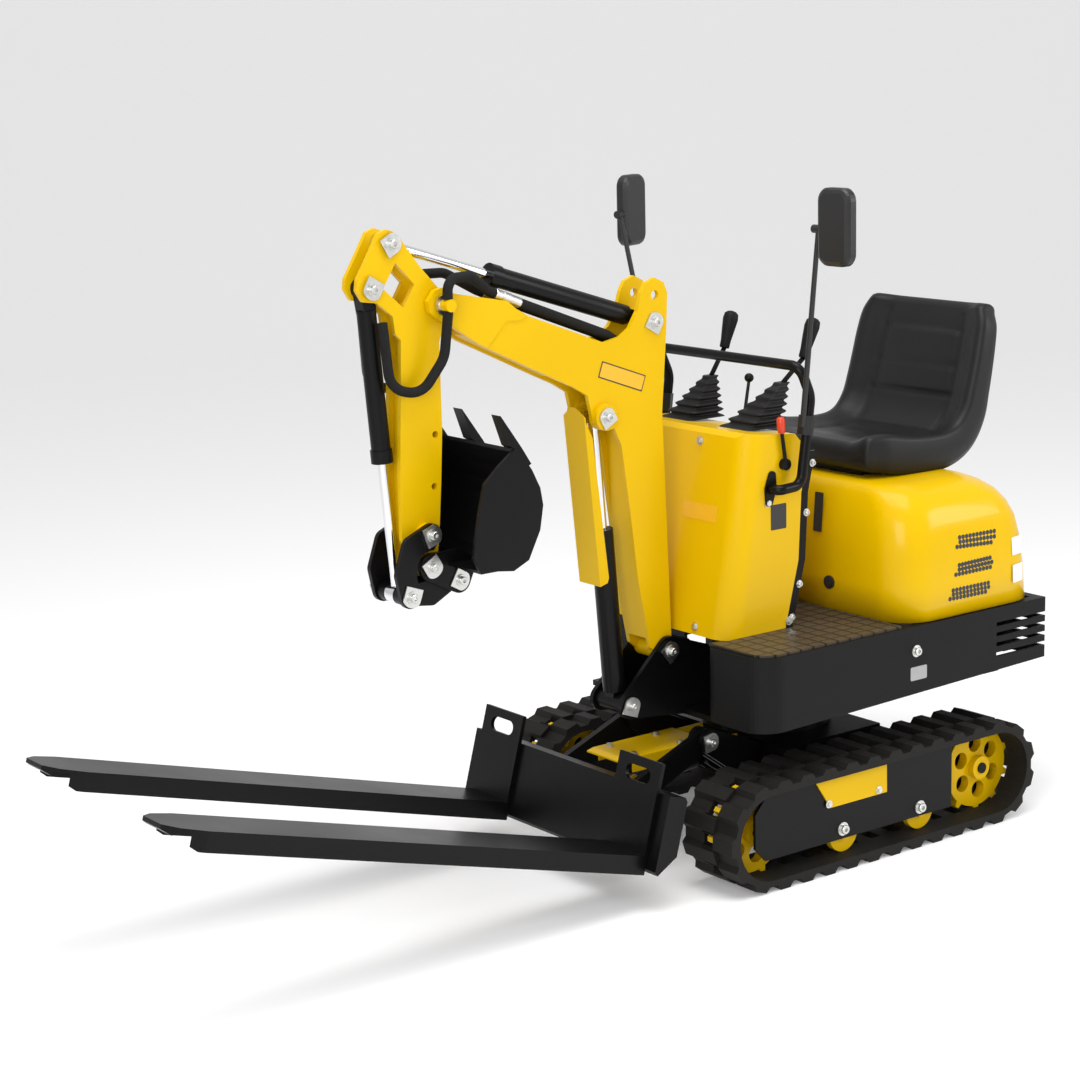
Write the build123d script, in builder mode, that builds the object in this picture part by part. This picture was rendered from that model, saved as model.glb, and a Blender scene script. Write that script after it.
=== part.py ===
from build123d import *
import os
from math import cos, sin, radians, pi, hypot

# Mini excavator on rubber tracks, with a dozer blade that carries two lifting forks.
# Millimetres. +X is the machine's left, the front is -Y, +Z is up. The ground is Z = 0
# and the slewing axis is the Z axis.

# Driving dimensions of the tracks
TRACK_OUTER_HALF = 448.0
TRACK_WIDTH = 180.0
WHEELBASE = 770.0
AXLE_Z = 133.0
LINK_COUNT = 31
SPROCKET_TEETH = 10
BELT_OUT = 3.5
BELT_IN = 12.0
LUG_BASE = 50.0
LUG_TOP = 30.0
WINDOW_LENGTH = 32.0
WINDOW_WIDTH = 44.0
RIM_GAP = 0.6
WHEEL_THICK = 24.0
TOOTH_TIP = 118.0

# Driving dimensions of the undercarriage
SIDE_PLATE = 8.0
SIDE_PLATE_OUT = 422.0
INNER_PLATE_X = 302.0
ROLLER_R = 46.0
ROLLER_Y = (-117.0, 145.0)
CENTER_HALF_X = 240.0
CENTER_Y = (-160.0, 170.0)
CENTER_Z = (140.0, 262.0)
RING_R = 165.0
RING_TOP = 300.0
SEAT_GAP = 0.3

# Driving dimensions of the upper structure
DECK_Z = 345.0
DECK_THICK = 14.0
SKIRT_HALF_X = 420.0
SKIRT_FRONT = -392.0
DECK_FRONT = -215.0
FOOT_INNER = 205.0
SKIRT_REAR = 580.0
SKIRT_BOTTOM_FRONT = 373.0
SKIRT_BOTTOM_REAR = 399.0
FLOOR_Z = 556.0
SKIRT_WALL = 8.0
FLOOR_THICK = 6.0
SKIRT_RIM = 20.0
LOUVRE_Z = (430.0, 456.0, 482.0, 508.0)
HOOD_HALF_X = 412.0
HOOD_FRONT = 80.0
HOOD_REAR = 574.0
HOOD_TOP = 886.0
HOOD_WALL = 6.0
CONSOLE_HALF_X = 229.0
CONSOLE_WALL = 8.0
POST_HALF = 15.0
HOOD_AXIS = (578.0, 562.0)
HINGE_X = (200.0, 220.0, 240.0, 260.0)
HINGE_R = 9.0
HINGE_PIN_R = 5.0
SEAT_HALF = 232.0
RAIL_R = 12.5
RAIL_OUT = 33.0
RAIL_FOOT = (-122.0, 918.0)
RAIL_BEND = (-90.0, 1130.0)
RAIL_TOP = (-124.0, 1206.0)
MIRROR_WIDE = 106.0
MIRROR_HIGH = 180.0
MIRROR_TURN = {"left": 0.0, "right": 125.0}
LEVER_Y = -142.0
LEVERS = (
    (110.0, 20.0, (29.0, 1197.0), (67.0, 1293.0)),
    (-110.0, 12.0, (-36.0, 1209.0), (-8.0, 1300.0)),
)
BOOT_BASE = 130.0
BOOT_STEP = 18.0
BOOT_FOLDS = 6
BOOT_Z = 1030.0
FOLD_RISE = 19.0

# Pivots of the front linkage in the YZ plane, at rest
BOOM_FOOT = (-371.0, 512.0)
BOOM_RAM_FOOT = (-497.0, 395.0)
BOOM_RAM_EYE = (-551.0, 1110.0)
ARM_RAM_FOOT = (-392.0, 1320.0)
ARM_RAM_EYE = (-1127.0, 1558.0)
ARM_PIVOT = (-1006.0, 1415.0)
BUCKET_RAM_FOOT = (-1181.0, 1462.0)
ROCKER_PIVOT = (-1063.0, 902.0)
BUCKET_PIVOT = (-1065.0, 827.0)
LINK_PIVOT = (-990.0, 787.0)
ROCKER_EYE = (-1125.0, 767.0)
LIFT_EYE = (-390.0, 1384.0)
ARM_HOLES = ((-1024.0, 1123.0), (-1031.0, 1005.0))

# Widths across the front linkage, as half widths
BOOM_HALF = 45.0
BOOM_PLATE = 12.0
ARM_HALF = 30.0
ARM_PLATE = 12.0
OUTER_HALF = 60.0
OUTER_PLATE = 12.0
PIN_GAP = 0.05
SIDE_GAP = 0.6
BUCKET_HALF = 180.0
BUCKET_WALL = 8.0

# Blade and forks
BLADE_PIVOT = (-332.0, 295.0)
BLADE_TILT = 15.5
HEEL = (-695.0, 133.0)
BLADE_RAM_FOOT = (-212.0, 205.0)
BLADE_RAM_EYE = (-590.0, 169.5)
BLADE_HALF = 380.0
FORK_INNER = 190.0
FORK_WIDTH = 155.0
FORK_LENGTH = 1263.0
FORK_PLATE = 10.0
FORK_DEPTH = 45.0
UPRIGHT_HEIGHT = 218.0
FORK_WALL = 8.0
HANDLE_SLOT = (90.0, 36.0)
HANDLE_DROP = 40.0

# Hoses of the front linkage
HOSE_R = 11.5
HOSE_X = 70.0
SWIVEL_R = 14.0

os.makedirs("parts", exist_ok=True)
written = []


def keep(name, shape):
    """Label a finished piece and write it as one STEP file."""
    shape.label = name
    export_step(shape, f"parts/{name}.step")
    written.append(name)


def profile(points, x_from, x_to, mode=Mode.ADD):
    """Extrude a closed outline of (Y, Z) points between two X planes."""
    with BuildSketch(Plane.YZ.offset(x_from)) as face:
        with BuildLine():
            Polyline(*points, close=True)
        make_face()
    extrude(face.sketch, amount=x_to - x_from, mode=mode)


def disc(centre, radius, x_from, x_to, mode=Mode.ADD):
    """A round bar, or a bore, along X."""
    with BuildSketch(Plane.YZ.offset(x_from)) as face:
        with Locations(centre):
            Circle(radius)
    extrude(face.sketch, amount=x_to - x_from, mode=mode)


def hull(circles, x_from, x_to, mode=Mode.ADD):
    """A plate whose outline wraps round some circles, given as (y, z, radius)."""
    with BuildSketch(Plane.YZ.offset(x_from)) as face:
        with BuildLine():
            for y, z, radius in circles:
                CenterArc((y, z), radius, 0, 360)
        make_hull()
    extrude(face.sketch, amount=x_to - x_from, mode=mode)


def block(x_range, y_range, z_range, mode=Mode.ADD):
    """A box between two corners."""
    centre = [sum(r) / 2 for r in (x_range, y_range, z_range)]
    sizes = [r[1] - r[0] for r in (x_range, y_range, z_range)]
    with Locations(tuple(centre)):
        Box(*sizes, mode=mode)


def along(start, end, distance):
    """The point at a distance from start towards end, in the YZ plane."""
    length = hypot(end[0] - start[0], end[1] - start[1])
    share = distance / length
    return (start[0] + (end[0] - start[0]) * share, start[1] + (end[1] - start[1]) * share)


def line_plane(start, end, distance):
    """A plane square to the line from start to end in the YZ plane, at a distance."""
    y, z = along(start, end, distance)
    return Plane(
        origin=(0, y, z),
        x_dir=(1, 0, 0),
        z_dir=(0, end[0] - start[0], end[1] - start[1]),
    )


def bar(start, end, near, far, radius, mode=Mode.ADD):
    """A round bar along the line from start to end, between two distances."""
    with BuildSketch(line_plane(start, end, near)) as face:
        Circle(radius)
    extrude(face.sketch, amount=far - near, mode=mode)


# Track loop: its pitch line is two straights and two half circles. The radius makes the
# pitch of the belt equal the pitch of the sprocket's teeth.
TRACK_X = TRACK_OUTER_HALF - TRACK_WIDTH / 2
PITCH_R = 2 * WHEELBASE / (2 * pi * (LINK_COUNT / SPROCKET_TEETH - 1))
PITCH = 2 * pi * PITCH_R / SPROCKET_TEETH
LUG_HEIGHT = AXLE_Z - PITCH_R - BELT_OUT


def loop_point(s, height):
    """A point at arc length s along the pitch line, offset outwards by height."""
    s = s % (LINK_COUNT * PITCH)
    radius, half, turn = PITCH_R + height, WHEELBASE / 2, pi * PITCH_R
    if s < WHEELBASE:
        return (half - s, AXLE_Z - radius)
    if s < WHEELBASE + turn:
        a = (s - WHEELBASE) / PITCH_R
        return (-half - radius * sin(a), AXLE_Z - radius * cos(a))
    if s < 2 * WHEELBASE + turn:
        return (-half + s - WHEELBASE - turn, AXLE_Z + radius)
    a = (s - 2 * WHEELBASE - turn) / PITCH_R
    return (half + radius * sin(a), AXLE_Z + radius * cos(a))


def lug_ring(phase):
    """The belt's outer outline with one lug in each pitch."""
    points = []
    for link in range(LINK_COUNT):
        middle = (link + phase) * PITCH
        for offset, height in (
            (-LUG_BASE / 2, 0),
            (-LUG_TOP / 2, LUG_HEIGHT),
            (LUG_TOP / 2, LUG_HEIGHT),
            (LUG_BASE / 2, 0),
        ):
            points.append(loop_point(middle + offset, BELT_OUT + height))
    return points


def make_track(name, x_centre):
    """A rubber track: belt, staggered lugs and the windows that the teeth enter."""
    inner = [loop_point(k * PITCH / 4, -BELT_IN) for k in range(4 * LINK_COUNT)]
    low, high = x_centre - TRACK_WIDTH / 2, x_centre + TRACK_WIDTH / 2
    middle = WINDOW_WIDTH / 2
    with BuildPart() as track:
        profile(lug_ring(0.5), low, x_centre + middle)
        profile(lug_ring(0.0), x_centre - middle, high)
        profile(inner, low, high, mode=Mode.SUBTRACT)
        for link in range(LINK_COUNT):
            s, half = link * PITCH, WINDOW_LENGTH / 2
            cut = [
                loop_point(s - half, -BELT_IN - 2),
                loop_point(s - half, BELT_OUT + LUG_HEIGHT + 2),
                loop_point(s + half, BELT_OUT + LUG_HEIGHT + 2),
                loop_point(s + half, -BELT_IN - 2),
            ]
            profile(cut, x_centre - middle, x_centre + middle, mode=Mode.SUBTRACT)
    keep(name, track.part)


def make_wheel(name, x_centre, y_centre, phase, outwards):
    """A toothed wheel: rim, teeth, spoked web and hub. The sprocket and the front
    idler have the same form."""
    rim = PITCH_R - BELT_IN - RIM_GAP
    low, high = x_centre - WHEEL_THICK / 2, x_centre + WHEEL_THICK / 2
    centre = (y_centre, AXLE_Z)
    with BuildPart() as wheel:
        disc(centre, rim, low, high)
        for tooth in range(SPROCKET_TEETH):
            a = phase + 2 * pi * tooth / SPROCKET_TEETH
            points = []
            for radius, half in ((rim - 6, 12), (TOOTH_TIP, 6), (TOOTH_TIP, -6), (rim - 6, -12)):
                points.append(
                    (
                        y_centre + radius * sin(a) + half * cos(a),
                        AXLE_Z + radius * cos(a) - half * sin(a),
                    )
                )
            profile(points, low, high)
        for window in range(6):
            a = phase + 2 * pi * (window + 0.5) / 6
            hole = (y_centre + 62 * sin(a), AXLE_Z + 62 * cos(a))
            disc(hole, 22, low, high, mode=Mode.SUBTRACT)
        hub = sorted((x_centre - outwards * 24, x_centre + outwards * 30))
        disc(centre, 30, *hub)
        disc(centre, 14, hub[0] - 1, hub[1] + 1, mode=Mode.SUBTRACT)
    keep(name, wheel.part)


def make_side(side, sign):
    """The belt, its wheels and the frame beam between them, on one side."""
    x = sign * TRACK_X
    make_track(f"track_{side}", x)
    start = 2 * WHEELBASE + pi * PITCH_R
    rear_phase = -(start / PITCH % 1) * 2 * pi / SPROCKET_TEETH
    front_phase = pi - (WHEELBASE / PITCH % 1) * -2 * pi / SPROCKET_TEETH
    make_wheel(f"sprocket_{side}", x, WHEELBASE / 2, rear_phase, sign)
    make_wheel(f"idler_{side}", x, -WHEELBASE / 2, front_phase, sign)
    half = WHEELBASE / 2
    outer = sorted((sign * (SIDE_PLATE_OUT - SIDE_PLATE), sign * SIDE_PLATE_OUT))
    inner = sorted((sign * INNER_PLATE_X, sign * (INNER_PLATE_X + SIDE_PLATE)))
    beam = sorted((sign * (INNER_PLATE_X + SIDE_PLATE), sign * (SIDE_PLATE_OUT - SIDE_PLATE)))
    with BuildPart() as frame:
        profile(
            [(-half - 35, 105), (-half - 35, 190), (-half, 228), (240, 228), (240, 70), (-half - 2, 70)],
            *outer,
        )
        hull([(-half, AXLE_Z, 45), (half, AXLE_Z, 75), (-200, 185, 40), (200, 185, 40)], *inner)
        block(beam, (-235, 240), (138, 226))
        disc((-half, AXLE_Z), 13.8, *beam)
    keep(f"side_frame_{side}", frame.part)


for side, sign in (("left", 1), ("right", -1)):
    make_side(side, sign)

# Track rollers: two on each side, each a pair of flanges on one shaft
with BuildPart() as rollers:
    for sign in (1, -1):
        for y in ROLLER_Y:
            for low, high in ((312, 330), (386, 404)):
                disc((y, 75), ROLLER_R, *sorted((sign * low, sign * high)))
            span = sorted((sign * (INNER_PLATE_X + SIDE_PLATE), sign * (SIDE_PLATE_OUT - SIDE_PLATE)))
            disc((y, 75), 16, *span)
keep("track_rollers", rollers.part)

# Folded covers bolted over the middle of each side frame
with BuildPart() as covers:
    for sign in (1, -1):
        face = [(-229, 231), (8, 231), (9, 158), (-180, 158)]
        profile(face, *sorted((sign * SIDE_PLATE_OUT, sign * (SIDE_PLATE_OUT + 4))))
        block(sorted((sign * 330, sign * (SIDE_PLATE_OUT + 4))), (-229, 8), (228, 231))
keep("frame_covers", covers.part)

# Travel motors behind the sprockets
with BuildPart() as motors:
    for sign in (1, -1):
        disc((WHEELBASE / 2, AXLE_Z), 13.8, *sorted((sign * 322, sign * 392)))
        disc((WHEELBASE / 2, AXLE_Z), 34, *sorted((sign * 310, sign * 330)))
        disc((WHEELBASE / 2, AXLE_Z), 55, *sorted((sign * 215, sign * 302)))
keep("travel_motors", motors.part)

# Centre frame: cross box, legs to the side frames, slewing ring base and blade lugs
with BuildPart() as center:
    block((-CENTER_HALF_X, CENTER_HALF_X), CENTER_Y, CENTER_Z)
    for sign in (1, -1):
        block(sorted((sign * CENTER_HALF_X, sign * INNER_PLATE_X)), (-120, 150), (148, 222))
    with BuildSketch(Plane.XY.offset(CENTER_Z[1])):
        Circle(RING_R)
    extrude(amount=RING_TOP - 12 - CENTER_Z[1])
    for sign in (1, -1):
        for low, high in ((112, 126), (150, 164)):
            span = sorted((sign * low, sign * high))
            hull([(*BLADE_PIVOT, 30), (-165, 235, 22), (-165, 165, 22)], *span)
        disc(BLADE_PIVOT, 14, *sorted((sign * 112, sign * 164)))
        span = sorted((sign * 30, sign * 42))
        hull([(*BLADE_RAM_FOOT, 26), (-170, 230, 20), (-170, 170, 20)], *span)
    disc(BLADE_RAM_FOOT, 12, -42, 42)
keep("center_frame", center.part)

# Cover over the blade ram and its hoses
with BuildPart() as guard:
    profile([(-260, 262.3), (-515, 262.3), (-535, 258), (-535, 262), (-515, 267), (-260, 267)], -68, 68)
    for sign in (1, -1):
        block(sorted((sign * 64, sign * 68)), (-500, -160.3), (230, 262.3))
keep("hose_guard", guard.part)

# Slewing ring: the turning half, between the centre frame and the turntable
with BuildPart() as slew_ring:
    with BuildSketch(Plane.XY.offset(RING_TOP - 12 + SEAT_GAP)):
        Circle(RING_R - 5)
    extrude(amount=DECK_Z - RING_TOP + 12 - SEAT_GAP)
keep("slew_ring", slew_ring.part)

# Turntable: deck plate, the boom bracket and the posts that carry the skirt
with BuildPart() as turntable:
    block((-300, 300), (-330, 540), (DECK_Z, DECK_Z + DECK_THICK))
    for sign in (1, -1):
        span = sorted((sign * (OUTER_HALF - OUTER_PLATE), sign * OUTER_HALF))
        hull(
            [(*BOOM_FOOT, 36), (*BOOM_RAM_FOOT, 32), (-330, 375, 30), (-220, 375, 30), (-230, 480, 20)],
            *span,
        )
    disc(BOOM_FOOT, 15, -OUTER_HALF - 3, OUTER_HALF + 3)
    disc(BOOM_RAM_FOOT, 12, -OUTER_HALF - 3, OUTER_HALF + 3)
    block((-48, 48), (-262, -250), (DECK_Z + DECK_THICK, 480))
    post_top = FLOOR_Z - FLOOR_THICK - SEAT_GAP
    deck_top = DECK_Z + DECK_THICK
    for x, y in ((250, -250), (-250, -150), (250, 40), (-250, 40)):
        block((x - POST_HALF, x + POST_HALF), (y - POST_HALF, y + POST_HALF), (deck_top, post_top))
    for sign in (1, -1):
        rear = (450, 450 + 2 * POST_HALF)
        block(sorted((sign * 270, sign * 300)), rear, (deck_top, 444))
        block(sorted((sign * 270, sign * 398)), rear, (430, 444))
        block(sorted((sign * 368, sign * 398)), rear, (444, post_top))
keep("turntable", turntable.part)


def deck_outline(half_x, front, rear, front_r, rear_r, z):
    """A rounded rectangle in plan, with different corners at the front and the rear."""
    with BuildSketch(Plane.XY.offset(z)) as face:
        with Locations((0, (front + rear) / 2)):
            Rectangle(2 * half_x, rear - front)
        corners = face.vertices().group_by(Axis.Y)
        fillet(corners[0], front_r)
        fillet(corners[-1], rear_r)
    return face.sketch


def foot_outline(inset, z):
    """The foot box at the machine's left front in plan, drawn inwards by an inset."""
    with BuildSketch(Plane.XY.offset(z)) as face:
        with Locations(((FOOT_INNER + SKIRT_HALF_X) / 2, SKIRT_FRONT / 2)):
            Rectangle(SKIRT_HALF_X - FOOT_INNER - 2 * inset, -SKIRT_FRONT - 2 * inset)
        corners = face.vertices().group_by(Axis.Y)[0].sort_by(Axis.X)
        fillet(corners[0], 45 - inset)
        fillet(corners[-1], 70 - inset)
    return face.sketch


# Skirt: one moulded shell round the deck, with the foot plate in its front half
with BuildPart() as skirt:
    height = FLOOR_Z - SKIRT_BOTTOM_FRONT
    extrude(deck_outline(SKIRT_HALF_X, DECK_FRONT, SKIRT_REAR, 40, 100, SKIRT_BOTTOM_FRONT), amount=height)
    extrude(foot_outline(0, SKIRT_BOTTOM_FRONT), amount=height)
    wall = SKIRT_WALL
    hollow = FLOOR_Z - 370 - FLOOR_THICK
    main = deck_outline(SKIRT_HALF_X - wall, DECK_FRONT + wall, SKIRT_REAR - wall, 32, 92, 370)
    extrude(main, amount=hollow, mode=Mode.SUBTRACT)
    extrude(foot_outline(wall, 370), amount=hollow, mode=Mode.SUBTRACT)
    rim = wall + SKIRT_RIM
    extrude(
        deck_outline(SKIRT_HALF_X - rim, HOOD_FRONT + 20, SKIRT_REAR - rim, 20, 80, 500),
        amount=100,
        mode=Mode.SUBTRACT,
    )
    block((-66, 66), (DECK_FRONT - 5, -180), (365, 520), mode=Mode.SUBTRACT)
    profile(
        [(SKIRT_REAR + 5, SKIRT_BOTTOM_REAR), (SKIRT_REAR + 5, 360), (SKIRT_FRONT, 360),
         (SKIRT_FRONT, SKIRT_BOTTOM_FRONT)],
        -SKIRT_HALF_X - 5, SKIRT_HALF_X + 5, mode=Mode.SUBTRACT,
    )
    for sign in (1, -1):
        for z in LOUVRE_Z:
            block(sorted((sign * 300, sign * 430)), (400, 590), (z, z + 10), mode=Mode.SUBTRACT)
        disc(HOOD_AXIS, HINGE_R + 1, *sorted((sign * HINGE_X[1], sign * HINGE_X[2])), mode=Mode.SUBTRACT)
        for low, high in ((0, 1), (2, 3)):
            disc(HOOD_AXIS, HINGE_R, *sorted((sign * HINGE_X[low], sign * HINGE_X[high])))
        disc(HOOD_AXIS, HINGE_PIN_R, *sorted((sign * HINGE_X[0], sign * HINGE_X[3])))
keep("skirt", skirt.part)

# Rubber mat on the foot plate
with BuildPart() as mat:
    extrude(
        deck_outline(SKIRT_HALF_X - 12, SKIRT_FRONT + 10, HOOD_FRONT - 6, 60, 4, FLOOR_Z),
        amount=6,
    )
    block((-SKIRT_HALF_X, FOOT_INNER + 12), (SKIRT_FRONT, DECK_FRONT + 10), (FLOOR_Z - 1, FLOOR_Z + 8),
          mode=Mode.SUBTRACT)
    block((-CONSOLE_HALF_X - 2, CONSOLE_HALF_X + 2), (-345, -115), (FLOOR_Z - 1, FLOOR_Z + 8),
          mode=Mode.SUBTRACT)
keep("floor_mat", mat.part)

# Console: a moulded box that leans back, open towards the seat
CONSOLE_SIDE = [
    (-335, FLOOR_Z), (-262, 1040), (-250, 1052), (-110, 1038), (-66, 990), (-90, 890), (-100, 725),
    (-145, FLOOR_Z),
]
CONSOLE_HOLLOW = [
    (-310, FLOOR_Z), (-246, 1010), (-236, 1042), (-114, 1030), (-75, 988), (-98, 890), (-108, 726),
    (-153, FLOOR_Z),
]
with BuildPart() as console:
    profile(CONSOLE_SIDE, -CONSOLE_HALF_X, CONSOLE_HALF_X)
    uprights = console.edges().filter_by(lambda e: abs(e.tangent_at(0.5).X) < 0.1)
    front = uprights.filter_by(lambda e: e.center().Y < -240 and 600 < e.center().Z < 1030)
    fillet(front, 55)
    inner = CONSOLE_HALF_X - CONSOLE_WALL
    profile(CONSOLE_HOLLOW, -inner + 30, inner - 30, mode=Mode.SUBTRACT)
    side_hollow = [(-262, FLOOR_Z), (-195, 1010), (-150, 1033)] + CONSOLE_HOLLOW[3:]
    profile(side_hollow, -inner, inner, mode=Mode.SUBTRACT)
keep("console", console.part)

# Steel frame at the console's open side
with BuildPart() as console_frame:
    for sign in (1, -1):
        edge = [(-65.4, 990), (-89.4, 890), (-99.4, 725), (-144.4, FLOOR_Z)]
        back = [(y + 22, z) for y, z in reversed(edge)]
        profile(edge + back, *sorted((sign * (CONSOLE_HALF_X - 6), sign * CONSOLE_HALF_X)))
    block((-CONSOLE_HALF_X + 6, CONSOLE_HALF_X - 6), (-74, -62), (900, 940))
keep("console_frame", console_frame.part)

# Handrail: one bent tube across the console
RAIL_X = CONSOLE_HALF_X + RAIL_OUT
with BuildPart() as handrail:
    side = [(CONSOLE_HALF_X, -193, 914), (RAIL_X, -193, 914), (RAIL_X, *RAIL_FOOT), (RAIL_X, *RAIL_BEND),
            (RAIL_X, *RAIL_TOP)]
    with BuildLine() as rail:
        FilletPolyline(
            *side, *[(-x, y, z) for x, y, z in reversed(side)],
            radius=[15, 30, 60, 30, 30, 60, 30, 15],
        )
    with BuildSketch(Plane(origin=side[0], z_dir=(1, 0, 0))):
        Circle(RAIL_R)
    sweep(path=rail.wires()[0])
    for sign in (1, -1):
        plate = sorted((sign * CONSOLE_HALF_X, sign * (CONSOLE_HALF_X + 5)))
        hull([(-193, 914, 18), (-188, 946, 11), (-198, 882, 11)], *plate)
keep("handrail", handrail.part)

# Mirrors: stalk clamped to the handrail, head in a plain housing
RAIL_LINE = (0, RAIL_BEND[0] - RAIL_FOOT[0], RAIL_BEND[1] - RAIL_FOOT[1])
for side, sign in (("left", 1), ("right", -1)):
    foot = (sign * (RAIL_X + 6), -122, 1062)
    joint = (sign * 364, -160, 1540)
    with BuildPart() as mirror:
        with BuildLine() as stalk:
            Line(foot, joint)
        with BuildSketch(Plane(origin=foot, z_dir=(joint[0] - foot[0], joint[1] - foot[1], 478))):
            Circle(7)
        sweep(path=stalk.wires()[0])
        block((sign * RAIL_X - 15, sign * RAIL_X + 15), (-136, -88), (1040, 1086))
        with BuildSketch(Plane(origin=(sign * RAIL_X, *RAIL_FOOT), z_dir=RAIL_LINE)):
            Circle(RAIL_R + PIN_GAP)
        extrude(amount=400, mode=Mode.SUBTRACT)
        with Locations(joint):
            Box(30, 30, 24)
        angle = radians(MIRROR_TURN[side])
        along_head, away = (cos(angle), sin(angle), 0), (sin(angle), -cos(angle), 0)
        reach = MIRROR_WIDE / 2 + 6
        middle = (joint[0] + reach * along_head[0], joint[1] + reach * along_head[1], 1547)
        back = tuple(m - 15 * a for m, a in zip(middle, away))
        with BuildSketch(Plane(origin=back, x_dir=along_head, z_dir=away)) as glass:
            RectangleRounded(MIRROR_WIDE, MIRROR_HIGH, 30)
        extrude(glass.sketch, amount=30)
    keep(f"mirror_{side}", mirror.part)

# Lever boots: square bellows that lean back and get narrower in steps
with BuildPart() as boots:
    for x, shift, _, _ in LEVERS:
        for fold in range(BOOT_FOLDS):
            side = BOOT_BASE - fold * BOOT_STEP
            with BuildSketch(Plane.XY.offset(BOOT_Z + fold * FOLD_RISE)) as ring:
                with Locations((x, LEVER_Y + fold * shift)):
                    RectangleRounded(side, side, 12)
            extrude(ring.sketch, amount=FOLD_RISE + 0.5, taper=18)
    profile([(-300, 1057.3), (-250, 1052.3), (-110, 1038.3), (-60, 983.8), (-300, 983.8)], -300, 300,
            mode=Mode.SUBTRACT)
keep("lever_boots", boots.part)

# Joysticks: thin bent levers that lean back, with knobs
APEX_Z = BOOT_Z + BOOT_FOLDS * FOLD_RISE + 0.5 + SEAT_GAP
with BuildPart() as joysticks:
    for x, shift, low, high in LEVERS:
        foot = (LEVER_Y + (BOOT_FOLDS - 1) * shift, APEX_Z)
        for start, end, radius, taper in ((foot, low, 6, 0), (low, high, 12, -4)):
            heading = (0, end[0] - start[0], end[1] - start[1])
            with BuildSketch(Plane(origin=(x, *start), x_dir=(1, 0, 0), z_dir=heading)) as round_end:
                Circle(radius)
            extrude(round_end.sketch, amount=hypot(*heading) + (4 if taper == 0 else 0), taper=taper)
    block((-200, 200), (-200, 100), (APEX_Z - 40, APEX_Z), mode=Mode.SUBTRACT)
keep("joysticks", joysticks.part)

# Engine as one block
with BuildPart() as engine:
    block((-230, 230), (150, 500), (DECK_Z + DECK_THICK, 790))
keep("engine", engine.part)

# Hood: one moulded shell, open below, that turns on knuckles at the rear of the skirt
with BuildPart() as hood:
    with BuildSketch(Plane.XY.offset(FLOOR_Z + 1)):
        add(deck_outline(HOOD_HALF_X, HOOD_FRONT, HOOD_REAR, 90, 95, FLOOR_Z + 1))
    with BuildSketch(Plane.XY.offset(800)):
        add(deck_outline(HOOD_HALF_X - 8, HOOD_FRONT + 12, HOOD_REAR - 40, 90, 95, 800))
    with BuildSketch(Plane.XY.offset(HOOD_TOP)):
        add(deck_outline(HOOD_HALF_X - 84, HOOD_FRONT + 30, HOOD_REAR - 160, 70, 70, HOOD_TOP))
    loft(ruled=True)
    offset(amount=-HOOD_WALL, openings=hood.faces().sort_by(Axis.Z)[0])
    for sign in (1, -1):
        for low, high in ((0, 1), (2, 3)):
            knuckle = sorted((sign * (HINGE_X[low] - SEAT_GAP), sign * (HINGE_X[high] + SEAT_GAP)))
            disc(HOOD_AXIS, HINGE_R + 1, *knuckle, mode=Mode.SUBTRACT)
        between = sorted((sign * (HINGE_X[1] + SEAT_GAP), sign * (HINGE_X[2] - SEAT_GAP)))
        disc(HOOD_AXIS, HINGE_R, *between)
        disc(HOOD_AXIS, HINGE_PIN_R + PIN_GAP, *between, mode=Mode.SUBTRACT)
keep("hood", hood.part)

# Seat: moulded pan and back, with the top corners cut off
with BuildPart() as seat:
    profile([(158, 900), (150, 930), (165, 962), (205, 975), (400, 962), (470, 985), (520, 1060), (562, 1265),
             (585, 1293), (625, 1293), (634, 1272), (606, 1060), (560, 960), (490, 905)],
            -SEAT_HALF, SEAT_HALF)
    for sign in (1, -1):
        with BuildSketch(Plane.XZ.offset(-660)) as corner:
            with BuildLine():
                Polyline((sign * 145, 1300), (sign * 160, 1288), (sign * 205, 1230), (sign * 233, 1050),
                         (sign * 240, 1050), (sign * 240, 1300), close=True)
            make_face()
        extrude(corner.sketch, amount=260, mode=Mode.SUBTRACT)
        with BuildSketch(Plane.XY.offset(880)) as toe:
            with BuildLine():
                Polyline((sign * 175, 140), (sign * 222, 185), (sign * 240, 250), (sign * 240, 140), close=True)
            make_face()
        extrude(toe.sketch, amount=120, mode=Mode.SUBTRACT)
keep("seat", seat.part)

with BuildPart() as seat_base:
    block((-150, 150), (190, 400), (HOOD_TOP, 900 - SEAT_GAP))
keep("seat_base", seat_base.part)

# Boom: two side plates on a narrower box
BOOM_OUTLINE = [
    (-973, 1437), (-827, 1408), (-802, 1388), (-766, 1368), (-546, 1285), (-497, 1294), (-469, 1311),
    (-444, 1349), (-431, 1392), (-418, 1414), (-390, 1425), (-362, 1412), (-351, 1386), (-356, 1290),
    (-372, 1101), (-353, 540), (-371, 486), (-420, 525), (-455, 700), (-473, 850), (-499, 1035),
    (-520, 1078), (-551, 1078), (-583, 1100), (-598, 1165), (-640, 1190), (-684, 1210), (-906, 1316),
    (-995, 1372), (-1010, 1377), (-1040, 1400), (-1044, 1425), (-1025, 1448), (-1006, 1453),
]
BOOM_CORE = [
    (-930, 1425), (-827, 1402), (-766, 1360), (-546, 1278), (-460, 1255), (-378, 1180), (-372, 1101),
    (-353, 560), (-425, 548), (-455, 700), (-473, 850), (-483, 1035), (-495, 1110), (-520, 1160),
    (-620, 1207), (-684, 1216), (-906, 1322), (-930, 1336),
]
BOOM_TIP_PLATE = [
    (-973, 1437), (-827, 1408), (-802, 1388), (-770, 1370), (-790, 1360), (-830, 1363), (-885, 1306),
    (-906, 1316), (-995, 1372), (-1010, 1377), (-1040, 1400), (-1044, 1425), (-1025, 1448), (-1006, 1453),
]
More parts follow.
